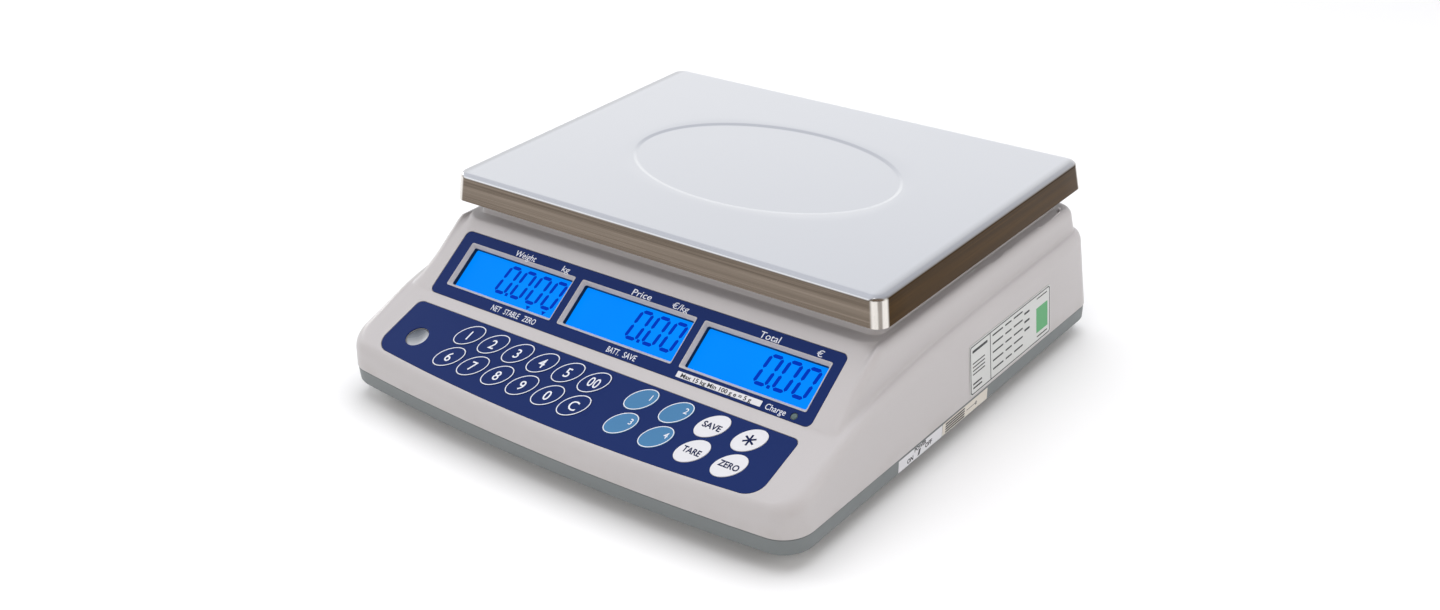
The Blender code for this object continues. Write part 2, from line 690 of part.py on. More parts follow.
def key_layout():
    """Every key: name, place on the keypad plane, finish."""
    keys = []
    groups = (
        (NUMBER_KEYS, NUMBER_START, NUMBER_PITCH, OVERLAY_BLUE),
        (PRESET_KEYS, PRESET_START, FUNCTION_PITCH, PRESET_BLUE),
        (FUNCTION_KEYS, FUNCTION_START, FUNCTION_PITCH, KEY_WHITE),
    )
    for names, start, pitch, finish in groups:
        for row, row_names in enumerate(names):
            for column, name in enumerate(row_names):
                place = (start[0] + pitch[0] * column, start[1] - pitch[1] * row)
                keys.append((name, place, finish))
    return keys


def make_keypad():
    holes = [
        tilted_oval(KEY_LONG + GAP, KEY_SHORT + GAP, KEY_TILT, place) for _, place, _ in key_layout()
    ]
    holes.append(circle(VIAL_PLACE, VIAL_RADIUS))
    overlay = to_mesh(prism(keypad_outline(), -OVERLAY, 0.0, holes), "keypad_overlay")
    add_object("keypad_overlay", overlay, OVERLAY_BLUE, KEYPAD)
    margin = 0.002
    vial_hole = circle(VIAL_PLACE, VIAL_RADIUS)
    circuit = prism(keypad_outline(-margin), MEMBRANE_BOTTOM, MEMBRANE_TOP, [vial_hole])
    add_object("membrane_circuit", to_mesh(circuit, "membrane_circuit"), MEMBRANE_CLEAR, KEYPAD)
    vial = cylinder(VIAL_RADIUS - 2 * GAP, VIAL_BOTTOM, VIAL_TOP)
    place = KEYPAD @ Matrix.Translation((*VIAL_PLACE, 0))
    add_object("level_vial", to_mesh(vial, "level_vial", smooth=True), VIAL_SILVER, place)
    for name, (x, s), finish in key_layout():
        cap = prism(tilted_oval(KEY_LONG, KEY_SHORT, KEY_TILT), KEY_BOTTOM, KEY_TOP)
        add_object(name, to_mesh(cap, name), finish, KEYPAD @ Matrix.Translation((x, s, 0)))


# ---------------------------------------------------------------- displays
def make_displays():
    middle = (DISPLAY_HIGH + DISPLAY_LOW) / 2
    outline = rounded_rectangle(DISPLAY_HALF, (DISPLAY_HIGH - DISPLAY_LOW) / 2, DISPLAY_CORNER, (0, middle))
    half_x, half_y = WINDOW[0] / 2, WINDOW[1] / 2
    holes = [rounded_rectangle(half_x, half_y, WINDOW_CORNER, (x, WINDOW_S), 1) for x in window_centres()]
    holes.append(circle(LED_PLACE, LED_RADIUS + GAP, 12))
    overlay = prism(outline, -OVERLAY, 0.0, holes)
    add_object("display_overlay", to_mesh(overlay, "display_overlay"), OVERLAY_BLUE, DISPLAY)

    inner_x, inner_y = half_x - WINDOW_CHAMFER, half_y - WINDOW_CHAMFER
    openings = []
    for x in window_centres():
        openings.append(rounded_rectangle(inner_x, inner_y, WINDOW_CORNER, (x, WINDOW_S), 1))
    bezel = rounded_rectangle(*BEZEL_HALF, 0.002, (WINDOW_SHIFT, WINDOW_S), 2)
    holder = prism(bezel, GAP - LCD_DEPTH, -SHELL - 2 * GAP, openings)
    add_object("lcd_bezel", to_mesh(holder, "lcd_bezel"), BLACK_PLASTIC, DISPLAY)
    glass_middle = -LCD_DEPTH - GLASS_SIZE[2] / 2
    for name, x in zip(("weight", "unit_price", "total_price"), window_centres()):
        place = DISPLAY @ Matrix.Translation((x, WINDOW_S, 0))
        glass = box(GLASS_SIZE, (0, 0, glass_middle))
        add_object(f"lcd_{name}", to_mesh(glass, f"lcd_{name}"), LCD_BLUE, place)
    light_top = -LCD_DEPTH - GLASS_SIZE[2] - GAP
    light = box(LIGHT_SIZE, (WINDOW_SHIFT, WINDOW_S, light_top - LIGHT_SIZE[2] / 2))
    add_object("backlight", to_mesh(light, "backlight"), LIGHT_GUIDE, DISPLAY)
    board_top = light_top - LIGHT_SIZE[2] - GAP
    outline = rounded_rectangle(*DISPLAY_BOARD_HALF, 0.001, (0, WINDOW_S), 1)
    board = prism(outline, board_top - BOARD, board_top)
    add_object("display_board", to_mesh(board, "display_board"), BOARD_GREEN, DISPLAY)
    led_top = -0.0002
    led_body = cylinder(LED_RADIUS, led_top - LED_LENGTH, led_top, segments=12)
    place = DISPLAY @ Matrix.Translation((*LED_PLACE, 0))
    add_object("charge_led", to_mesh(led_body, "charge_led", smooth=True), LED_GREY, place)


# ---------------------------------------------------------------- platter and its support
def pan_ring(half_x, half_y, corner, z):
    """Right half of a level rounded rectangle, anticlockwise from the front."""
    side, turn = 3, 4
    points = [((half_x - corner) * i / side, -half_y) for i in range(side + 1)]
    for t in steps(turn):
        a = (t - 1) * math.pi / 2
        points.append((half_x - corner + corner * math.cos(a), -half_y + corner + corner * math.sin(a)))
    points += [(half_x, (half_y - corner) * (2 * t - 1)) for t in steps(side)]
    for t in steps(turn):
        a = t * math.pi / 2
        points.append((half_x - corner + corner * math.cos(a), half_y - corner + corner * math.sin(a)))
    points += [((half_x - corner) * (1 - t), half_y) for t in steps(side)]
    return [(x, y, z) for x, y in points]


def oval_ring(half_x, half_y, z):
    """Right half of an oval with as many points as a pan ring."""
    count = len(pan_ring(1, 1, 0.1, 0)) - 1
    angles = [math.pi * (i / count - 0.5) for i in range(count + 1)]
    return [(half_x * math.cos(a), half_y * math.sin(a), z) for a in angles]


def make_platter():
    rings = [pan_ring(PAN_HALF_X + PAN_SPLAY, PAN_HALF_Y + PAN_SPLAY, PAN_CORNER, PAN_TOP - PAN_FLANGE)]
    for angle in (0, 45, 90):
        inset = PAN_EDGE * (1 - math.cos(math.radians(angle)))
        z = PAN_TOP - PAN_EDGE * (1 - math.sin(math.radians(angle)))
        rings.append(pan_ring(PAN_HALF_X - inset, PAN_HALF_Y - inset, PAN_CORNER - inset, z))
    rings.append(oval_ring(DISH_X, DISH_Y, PAN_TOP))
    rings.append(oval_ring(DISH_X - DISH_STEP, DISH_Y - DISH_STEP, PAN_TOP - DISH_DEPTH))
    mesh = to_mesh(loft(rings, close_last=True), "platter", smooth=True)
    pan = add_object("platter", mesh, STEEL, Matrix.Translation((0, PAN_Y, 0)))
    sheet = pan.modifiers.new("sheet", "SOLIDIFY")
    sheet.thickness = PAN_SHEET
    sheet.offset = -1
    sheet.use_even_offset = True


def make_support():
    reach_x, reach_y = BUFFER_PLACE[0] + SPIDER_REACH, BUFFER_PLACE[1] + SPIDER_REACH
    middle = SPIDER_Z + SPIDER_THICK / 2
    plate = box((2 * reach_x, SPIDER_WIDTH, SPIDER_THICK), (0, 0, middle))
    centre = Matrix.Translation((0, PAN_Y, 0))
    spider = add_object("platform_support", to_mesh(plate, "platform_support"), CAST_METAL, centre)
    for side in (-1, 1):
        bar = box((SPIDER_ARM, 2 * reach_y, SPIDER_THICK), (side * BUFFER_PLACE[0], 0, middle))
        boolean(spider, bar, "UNION", centre, f"bar_{'right' if side > 0 else 'left'}")
    column_foot = CELL_Z + CELL[2] + PLATFORM_SINK + GAP
    column = cylinder(COLUMN_RADIUS, column_foot, middle - 0.001, (CELL_END, 0))
    boolean(spider, column, "UNION", centre, "column")
    buffer_top = PAN_TOP - PAN_SHEET - GAP
    for y, end in ((-1, "front"), (1, "rear")):
        for x, side in ((-1, "left"), (1, "right")):
            place = Matrix.Translation((x * BUFFER_PLACE[0], PAN_Y + y * BUFFER_PLACE[1], 0))
            pad_foot = SPIDER_Z + SPIDER_THICK + GAP
            pad = cylinder(BUFFER_RADIUS, pad_foot, buffer_top, (0, 0), 16, BUFFER_TOP_RADIUS)
            name = f"buffer_{end}_{side}"
            add_object(name, to_mesh(pad, name, smooth=True), RUBBER, place)


def make_load_cell():
    centre = Matrix.Translation((0, PAN_Y, 0))
    beam = box(CELL, (0, 0, CELL_Z + CELL[2] / 2))
    cell = add_object("load_cell", to_mesh(beam, "load_cell"), ALUMINIUM, centre)
    turn = Matrix.Rotation(math.pi / 2, 4, "X")
    for x in (-FLEXURE_SHIFT, FLEXURE_SHIFT):
        place = Matrix.Translation((x, PAN_Y, CELL_Z + CELL[2] / 2)) @ turn
        boolean(cell, cylinder(FLEXURE_RADIUS, -CELL[1], CELL[1]), place=place, name="flexure_hole")
    slot = box(FLEXURE_SLOT, (0, 0, CELL_Z + CELL[2] / 2))
    boolean(cell, slot, place=centre, name="flexure_slot")
    plate_low = FOOT_GAP + FLOOR + GAP
    plate_top = plate_low + CHASSIS_SIZE[2]
    plate = box(CHASSIS_SIZE, (0, 0, (plate_low + plate_top) / 2))
    add_object("chassis_plate", to_mesh(plate, "chassis_plate"), ZINC, centre)
    riser = box((RISER_SIDE, RISER_SIDE, CELL_Z - plate_top - 2 * GAP), (0, 0, 0))
    place = Matrix.Translation((-CELL_END, PAN_Y, (CELL_Z + plate_top) / 2))
    add_object("load_cell_riser", to_mesh(riser, "load_cell_riser"), CAST_METAL, place)
    stop = cylinder(STOP_RADIUS, plate_top + GAP, CELL_Z - STOP_GAP, segments=12)
    place = Matrix.Translation((CELL_END, PAN_Y, 0))
    add_object("overload_stop", to_mesh(stop, "overload_stop", smooth=True), ZINC, place)


# ---------------------------------------------------------------- electrics inside
def make_electrics():
    floor = FOOT_GAP + FLOOR + GAP
    case = box(BATTERY_SIZE, (0, 0, 0))
    bevel_all(case, 0.0015)
    case_place = Matrix.Translation((BATTERY_X, PAN_Y, floor + BATTERY_SIZE[2] / 2))
    add_object("battery", to_mesh(case, "battery"), BATTERY_BLACK, case_place)
    half, inner = STRAP_HALF, STRAP_HALF - STRAP
    left_foot, right_foot = -half - STRAP_FEET[0], half + STRAP_FEET[1]
    top = floor + BATTERY_SIZE[2] + 0.0018
    outline = [
        (left_foot, floor),
        (-inner, floor),
        (-inner, top - STRAP),
        (inner, top - STRAP),
        (inner, floor),
        (right_foot, floor),
        (right_foot, floor + STRAP),
        (half, floor + STRAP),
        (half, top),
        (-half, top),
        (-half, floor + STRAP),
        (left_foot, floor + STRAP),
    ]
    band = prism(outline, -STRAP_WIDTH / 2, STRAP_WIDTH / 2)
    place = Matrix.Translation((BATTERY_X, PAN_Y, 0)) @ Matrix.Rotation(math.pi / 2, 4, "X")
    add_object("battery_strap", to_mesh(band, "battery_strap"), ZINC, place)
    board = box(MAIN_BOARD_SIZE, (0, 0, floor + MAIN_BOARD_LIFT + BOARD / 2))
    place = Matrix.Translation((*MAIN_BOARD_PLACE, 0))
    add_object("main_board", to_mesh(board, "main_board"), BOARD_GREEN, place)
    beside_cell = PAN_Y + CELL[1] / 2 + 0.002
    start, end = (0.0, beside_cell, 0.050), (0.088, 0.085, 0.0225)
    make_cable("load_cell_cable", (start, (0.018, 0.085, 0.044), (0.045, 0.092, 0.032), end), CABLE_RADIUS)


def bevel_all(bm, width):
    bmesh.ops.bevel(bm, geom=bm.edges[:], offset=width, segments=1, affect="EDGES", profile=0.5)


def make_cable(name, route, radius):
    """Loom laid along a soft curve through a few points, with closed ends."""
    curve = bpy.data.curves.new(name, "CURVE")
    curve.dimensions = "3D"
    spline = curve.splines.new("POLY")
    points = soft_route(route, 5)
    spline.points.add(len(points) - 1)
    for slot, point in zip(spline.points, points):
        slot.co = (*point, 1.0)
    curve.bevel_depth = radius
    curve.bevel_resolution = 1
    curve.use_fill_caps = True
    curve.materials.append(WIRE_GREY)
    cable = bpy.data.objects.new(name, curve)
    scale_parts.objects.link(cable)


def soft_route(route, per_span):
    """Catmull-Rom points through a route."""
    ends = [Vector(p) for p in (route[0], *route, route[-1])]
    points = []
    for a, b, c, d in zip(ends, ends[1:], ends[2:], ends[3:]):
        for i in range(per_span):
            t = i / per_span
            square, cube = (2 * a - 5 * b + 4 * c - d) * t**2, (3 * b - a - 3 * c + d) * t**3
            points.append(0.5 * (2 * b + (c - a) * t + square + cube))
    return points + [ends[-1]]


def make_underside():
    x, y = SWITCH_PLACE
    pivot_z = FOOT_GAP + ROCKER_LIFT
    body_low = pivot_z + 0.0062
    body = box(SWITCH_SIZE, (x, y, body_low + SWITCH_SIZE[2] / 2))
    add_object("switch_body", to_mesh(body, "switch_body"), BLACK_PLASTIC)
    half = SWITCH_SIZE[1] / 2 - 0.0010
    lower = [(-half, -0.0020), (0.0, -0.0008), (half, -0.0020)]
    upper = [(half, 0.0012), (0.0, 0.0036), (-half, 0.0012)]
    upright = Matrix.Rotation(math.pi / 2, 4, "Z") @ Matrix.Rotation(math.pi / 2, 4, "X")
    width = SWITCH_SIZE[0] / 2 - 0.0008
    place = Matrix.Translation((x, y, pivot_z)) @ Matrix.Rotation(-ROCKER_TILT, 4, "X") @ upright
    rocker = prism(lower + upper, -width, width)
    add_object("power_rocker", to_mesh(rocker, "power_rocker"), BLACK_PLASTIC, place)

    socket = cylinder(JACK_RADIUS, FOOT_GAP + 0.0004, FOOT_GAP + 0.0120, JACK_PLACE)
    bore = cylinder(JACK_BORE, FOOT_GAP - 0.001, FOOT_GAP + 0.0100, JACK_PLACE, 16)
    jack = add_object("dc_jack", to_mesh(socket, "dc_jack", smooth=True), BLACK_PLASTIC)
    boolean(jack, bore, name="bore")
    pin = cylinder(JACK_PIN, FOOT_GAP + 0.0012, FOOT_GAP + 0.0110, JACK_PLACE, 10)
    boolean(jack, pin, "UNION", name="pin")

    door = box(DOOR_SIZE, (0, 0, FOOT_GAP + DOOR_SIZE[2] / 2))
    grip = box(GRIP_SIZE, (0, -GRIP_SHIFT, FOOT_GAP - 0.0001))
    door_place = Matrix.Translation((*DOOR_PLACE, 0))
    cover = add_object("battery_door", to_mesh(door, "battery_door"), BASE_GREY, door_place)
    boolean(cover, grip, "UNION", door_place, "grip")

    for place, (x, y) in FOOT_PLACES.items():
        profile = cylinder(FOOT_RADIUS, 0.0, FOOT_HEIGHT, top_radius=FOOT_RADIUS - FOOT_TAPER)
        name = f"levelling_foot_{place}"
        foot = add_object(name, to_mesh(profile, name, smooth=True), RUBBER, Matrix.Translation((x, y, 0)))
        stud = cylinder(STUD_RADIUS, FOOT_HEIGHT - 0.001, PARTING_Z, segments=14)
        boolean(foot, stud, "UNION", Matrix.Translation((x, y, 0)), "stud")
    for place, (x, y) in SCREW_PLACES.items():
        name = f"case_screw_{place}"
        head = cylinder(SCREW_HEAD, FOOT_GAP - 0.0006, FOOT_GAP + 0.0009, segments=12)
        screw = add_object(name, to_mesh(head, name, smooth=True), ZINC, Matrix.Translation((x, y, 0)))
        shank = cylinder(SCREW_RADIUS, FOOT_GAP + 0.0004, PARTING_Z + SCREW_REACH, segments=8)
        boolean(screw, shank, "UNION", Matrix.Translation((x, y, 0)), "shank")


def make_rating_plate():
    """Thin plate on the right side, lying on the drafted skirt."""
    half_w, half_h, (middle_y, foot_z) = PLATE_SIZE[0] / 2, PLATE_SIZE[1] / 2, PLATE_PLACE
    outline = rounded_rectangle(half_w, half_h, PLATE_CORNER, (0, half_h), 3)
    plate = prism(outline, GAP, GAP + PLATE_SIZE[2])
    outward = Matrix(((0, 0, 1, 0), (1, 0, 0, 0), (0, 1, 0, 0), (0, 0, 0, 1)))
    tilt = Matrix.Rotation(-math.atan(WALL_DRAFT), 4, "Y")
    x = HALF_WIDTH - WALL_DRAFT * (foot_z - PARTING_Z)
    place = Matrix.Translation((x, middle_y, foot_z)) @ tilt @ outward
    add_object("rating_plate", to_mesh(plate, "rating_plate"), LABEL_WHITE, place)


make_upper_housing()
make_lower_housing()
make_keypad()
make_displays()
make_platter()
make_support()
make_load_cell()
make_electrics()
make_underside()
make_rating_plate()
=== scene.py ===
# %% [markdown]
# # A shop scale and its finishes
# The moving model of the scale is already there: housing, keys, platter, feet. This file gives it its looks.
# Each step says what the real piece or finish is, how it could be made, and why this way was chosen.

# %% Load the moving model
import math

import bmesh
import bpy
from mathutils import Matrix, Vector


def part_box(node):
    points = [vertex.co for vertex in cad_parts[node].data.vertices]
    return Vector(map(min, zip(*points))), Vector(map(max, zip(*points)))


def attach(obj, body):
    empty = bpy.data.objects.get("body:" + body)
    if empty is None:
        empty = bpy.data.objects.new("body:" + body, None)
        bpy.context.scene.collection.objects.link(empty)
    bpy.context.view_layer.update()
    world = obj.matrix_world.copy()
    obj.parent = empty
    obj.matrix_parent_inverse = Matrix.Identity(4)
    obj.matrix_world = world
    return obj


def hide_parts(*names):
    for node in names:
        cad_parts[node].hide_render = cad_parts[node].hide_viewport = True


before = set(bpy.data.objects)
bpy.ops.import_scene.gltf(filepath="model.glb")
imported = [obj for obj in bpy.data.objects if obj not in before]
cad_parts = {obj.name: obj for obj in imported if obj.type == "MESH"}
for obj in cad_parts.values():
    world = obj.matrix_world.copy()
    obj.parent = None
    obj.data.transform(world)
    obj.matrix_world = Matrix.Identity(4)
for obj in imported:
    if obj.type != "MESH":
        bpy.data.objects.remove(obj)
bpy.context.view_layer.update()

# %% [markdown]
# The frame says where everything is, so sizes are read from it. The two sloped panels are the exception: a
# box can't give a slope, so their slopes and the points they pass through are named here.

# %% Sizes read from the frame
shell_low, shell_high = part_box("upper_housing")
HALF_WIDTH, FRONT_Y, REAR_Y = shell_high[0], shell_low[1], shell_high[1]
PARTING_Z, PLATEAU_Z = shell_low[2], shell_high[2]
BASE_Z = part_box("lower_housing")[0][2]
pan_low, pan_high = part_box("platter")
PAN_Y = (pan_low[1] + pan_high[1]) / 2
PAN_TOP, PAN_BOTTOM = pan_high[2], pan_low[2]
PAN_SPLAY = 0.0017
PAN_HALF_X = pan_high[0] - PAN_SPLAY
PAN_HALF_Y = (pan_high[1] - pan_low[1]) / 2 - PAN_SPLAY
KEYPAD_SLOPE, KEYPAD_ORIGIN = math.radians(18.688), Vector((0.0, -0.1615, 0.0328))
DISPLAY_SLOPE, DISPLAY_ORIGIN = math.radians(34.63), Vector((0.0, -0.1015, 0.0537))
KEYPAD = Matrix.Translation(KEYPAD_ORIGIN) @ Matrix.Rotation(KEYPAD_SLOPE, 4, "X")
DISPLAY = Matrix.Translation(DISPLAY_ORIGIN) @ Matrix.Rotation(DISPLAY_SLOPE, 4, "X")
HOUSING = "housing"
print(f"housing {2000 * HALF_WIDTH:.1f} mm wide, platter top {1000 * PAN_TOP:.1f} mm up")

# %% [markdown]
# ## Camera, floor and light
# The scale stands on a pale floor that fills the view. One plane makes it. A big soft lamp overhead, weaker
# ones from the sides and the front, and a pale sky give flat, bright light. Two small lamps add a sparkle to
# the steel, so they alone are left visible in reflections.

# %% Camera
CAMERA_PLACE = Vector((0.54374, -0.66771, 0.48915))
CAMERA_TURN, CAMERA_RISE, CAMERA_ROLL = math.radians(39.172), math.radians(27.645), math.radians(-2.703)
back = Vector(
    (
        math.sin(CAMERA_TURN) * math.cos(CAMERA_RISE),
        -math.cos(CAMERA_TURN) * math.cos(CAMERA_RISE),
        math.sin(CAMERA_RISE),
    )
)
level = Vector((math.cos(CAMERA_TURN), math.sin(CAMERA_TURN), 0))
upright = back.cross(level)
right = math.cos(CAMERA_ROLL) * level + math.sin(CAMERA_ROLL) * upright
top = math.cos(CAMERA_ROLL) * upright - math.sin(CAMERA_ROLL) * level
camera_data = bpy.data.cameras.new("camera")
camera_data.lens = 41.417
camera_data.sensor_width = 36.0
camera_data.clip_start = 0.01
camera = bpy.data.objects.new("camera", camera_data)
camera.matrix_world = Matrix.Translation(CAMERA_PLACE) @ Matrix((right, top, back)).transposed().to_4x4()
bpy.context.scene.collection.objects.link(camera)
bpy.context.scene.camera = camera

# %% [markdown]
# Finishes are written as sums, such as 1 - mask * 0.5. A small class wraps a shader socket so that each sum
# adds its Math node, and a second class holds the nodes that every finish needs.

# %% Shader expressions


class Wire:
    """A shader socket that takes part in ordinary sums; each sum adds a Math node."""

    def __init__(self, sheet, socket):
        self.sheet, self.socket = sheet, socket

    def joined(self, operation, first, second):
        return self.sheet.node("ShaderNodeMath", {"operation": operation}, {0: first, 1: second})

    def __add__(self, other):
        return self.joined("ADD", self, other)

    def __sub__(self, other):
        return self.joined("SUBTRACT", self, other)

    def __rsub__(self, other):
        return self.joined("SUBTRACT", other, self)

    def __mul__(self, other):
        return self.joined("MULTIPLY", self, other)

    __radd__ = __add__
    __rmul__ = __mul__


class Sheet:
    def __init__(self, name, sky=False):
        self.owner = (bpy.data.worlds if sky else bpy.data.materials).new(name)
        self.owner.use_nodes = True
        self.tree = self.owner.node_tree
        self.shader = self.tree.nodes["Background" if sky else "Principled BSDF"]
        self.place = self.node("ShaderNodeTexCoord", {}, {}, "Generated" if sky else "Object")

    def node(self, kind, settings, inputs, output=0):
        made = self.tree.nodes.new(kind)
        for key, value in settings.items():
            if key == "stops":
                ramp = made.color_ramp
                for i, (position, colour) in enumerate(value):
                    stop = ramp.elements[i] if i < 2 else ramp.elements.new(position)
                    stop.position, stop.color = position, colour
            else:
                setattr(made, key, value)
        for key, value in inputs.items():
            self.plug(made.inputs[key], value)
        return Wire(self, made.outputs[output])

    def plug(self, socket, value):
        if isinstance(value, Wire):
            self.tree.links.new(value.socket, socket)
        else:
            socket.default_value = value

    def axis(self, vector, index):
        """One coordinate of a vector: 0 is X, 1 is Y, 2 is Z."""
        return self.node("ShaderNodeSeparateXYZ", {}, {0: vector}, index)

    def stretched(self, scale):
        return self.node("ShaderNodeMapping", {}, {"Vector": self.place, "Scale": scale})

    def noise(self, scale, detail=2.0, place=None, rough=0.5):
        """Noise from 0 to 1 with features about 1/scale metres across."""
        values = {"Vector": place or self.place, "Scale": scale, "Detail": detail, "Roughness": rough}
        return self.node("ShaderNodeTexNoise", {}, values)

    def between(self, low, high, value):
        """0 below low, 1 above high, smooth between."""
        values = {"Value": value, "From Min": low, "From Max": high}
        return self.node("ShaderNodeMapRange", {"interpolation_type": "SMOOTHSTEP"}, values)

    def tint(self, amount, first, second):
        """Colour between first and second."""
        values = {0: amount}
        for slot, colour in ((6, first), (7, second)):
            values[slot] = colour if isinstance(colour, Wire) else (*colour, 1.0)
        return self.node("ShaderNodeMix", {"data_type": "RGBA"}, values, 2)

    def size(self, value):
        """The value without its sign."""
        return self.node("ShaderNodeMath", {"operation": "ABSOLUTE"}, {0: value})

    def bump(self, height, strength, distance):
        values = {"Height": height, "Strength": strength, "Distance": distance}
        return self.node("ShaderNodeBump", {}, values)

    def finish(self, **sockets):
        for name, value in sockets.items():
            key = name.replace("_", " ").title().replace("Ior", "IOR")
            if isinstance(value, tuple) and len(value) == 3:
                value = (*value, 1.0)
            self.plug(self.shader.inputs[key], value)
        return self.owner


def stage_finish(name, colour, spread):
    """Plain paper for the floor."""
    sheet = Sheet(name)
    tone = sheet.noise(3.0)
    darker = tuple(c * (1 - spread) for c in colour)
    return sheet.finish(base_color=sheet.tint(tone, darker, colour), roughness=0.9)


# %% Floor and lamps
def floor_sheet(half, finish):
    mesh = bpy.data.meshes.new("floor")
    corners = [(-half, -half, 0), (half, -half, 0), (half, half, 0), (-half, half, 0)]
    mesh.from_pydata(corners, [], [(0, 1, 2, 3)])
    mesh.materials.append(finish)
    sheet = bpy.data.objects.new("floor", mesh)
    bpy.context.scene.collection.objects.link(sheet)


def soft_lamp(name, place, aim, size, power, colour=(1, 1, 1), mirrored=True):
    data = bpy.data.lights.new(name, "AREA")
    data.shape = "RECTANGLE"
    data.size, data.size_y = size
    data.energy = power
    data.color = colour
    lamp = bpy.data.objects.new(name, data)
    lamp.location = place
    lamp.rotation_euler = (Vector(aim) - Vector(place)).to_track_quat("-Z", "Y").to_euler()
    lamp.visible_glossy = mirrored
    bpy.context.scene.collection.objects.link(lamp)


floor_sheet(6.0, stage_finish("floor_paper", (0.93, 0.93, 0.93), 0.01))
soft_lamp("overhead", (0.0, 0.30, 1.6), (0, 0.05, 0), (1.8, 1.4), 16.0, (0.98, 0.99, 1.0), False)
soft_lamp("left", (-1.4, -0.6, 0.9), (0, 0, 0.05), (1.0, 0.8), 4.0, (1.0, 0.99, 0.98), False)
soft_lamp("right", (1.3, 0.1, 0.8), (0, 0, 0.05), (0.8, 0.8), 3.5, (1.0, 0.97, 0.94), False)
soft_lamp("front", (0.5, -1.5, 0.8), (0, 0, 0.05), (1.0, 0.7), 7.0, (1.0, 0.985, 0.97), False)
soft_lamp("sparkle_left", (-1.5, 0.25, 0.50), (0, 0, 0.05), (0.30, 0.30), 2.0)
soft_lamp("sparkle_front", (0.15, -0.65, 1.45), (0, 0, 0.05), (0.12, 0.12), 0.5)

# %% [markdown]
# The sky is pale near the horizon, greyer overhead and dark behind the camera, as a room is round a white
# table. Polished steel and glossy film show that room, and the dark part keeps them from looking chalky.

# %% Sky


def room_sky():
    sheet = Sheet("pale_room", sky=True)
    toward = {"operation": "DOT_PRODUCT"}
    behind = sheet.node("ShaderNodeVectorMath", toward, {0: sheet.place, 1: (0.60, -0.72, 0.34)}, "Value")
    height = sheet.axis(sheet.place, 2)
    room = sheet.tint(sheet.between(0.22, 0.64, height), (1.0, 1.0, 1.0), (0.60, 0.61, 0.65))
    room = sheet.tint(sheet.between(0.45, 0.85, behind), room, (0.16, 0.12, 0.09))
    return sheet.finish(color=room, strength=1.0)


bpy.context.scene.world = room_sky()
bpy.context.scene.view_settings.view_transform = "Standard"

# %% [markdown]
# ## Finishes
# The housing is moulded plastic with a fine spark-eroded texture: a slight mottle in the colour, tiny bumps
# and a sheen that varies a little. A little grime gathers low on the skirt. One function makes both greys.

# %% Moulded plastic


def moulded_plastic(name, colour, roughness, grime_top=None, grime=0.0):
    sheet = Sheet(name)
    cloud = sheet.noise(14.0, 3.0)
    speck = sheet.noise(900.0, 2.0)
    pale = tuple(min(1.0, c * 1.04) for c in colour)
    dull = tuple(c * 0.955 for c in colour)
    base = sheet.tint(cloud * 0.7 + speck * 0.3, dull, pale)
    if grime_top is not None:
        height = sheet.axis(sheet.place, 2)
        low = 1 - sheet.between(grime_top - 0.012, grime_top, height)
        dirt = low * sheet.between(0.35, 0.75, sheet.noise(60.0, 4.0)) * grime
        base = sheet.tint(dirt, base, tuple(c * k for c, k in zip(colour, (0.72, 0.68, 0.62))))
    grain = sheet.noise(2600.0, 1.0) + sheet.noise(700.0, 2.0) * 0.6
    return sheet.finish(
        base_color=base,
        roughness=cloud * 0.08 + (roughness - 0.04) + speck * 0.05,
        normal=sheet.bump(grain, 0.18, 0.00008),
        specular_ior_level=0.45,
    )


HOUSING_PLASTIC = moulded_plastic("housing_plastic", (0.495, 0.474, 0.476), 0.34, grime_top=0.030, grime=0.35)
BASE_PLASTIC = moulded_plastic("base_plastic", (0.168, 0.186, 0.190), 0.45, grime_top=0.016, grime=0.3)
BLACK_PLASTIC = moulded_plastic("black_plastic", (0.012, 0.012, 0.013), 0.4)

# %% [markdown]
# The platter is stainless sheet, brushed along its length. Brushing is noise that is drawn out along one
# axis: it moves the roughness, tints the colour a little and tilts the surface by a few microns. On the
# end flanges the brushing has to run along Y instead, and the surface's own normal says which side is which.

# %% Brushed steel


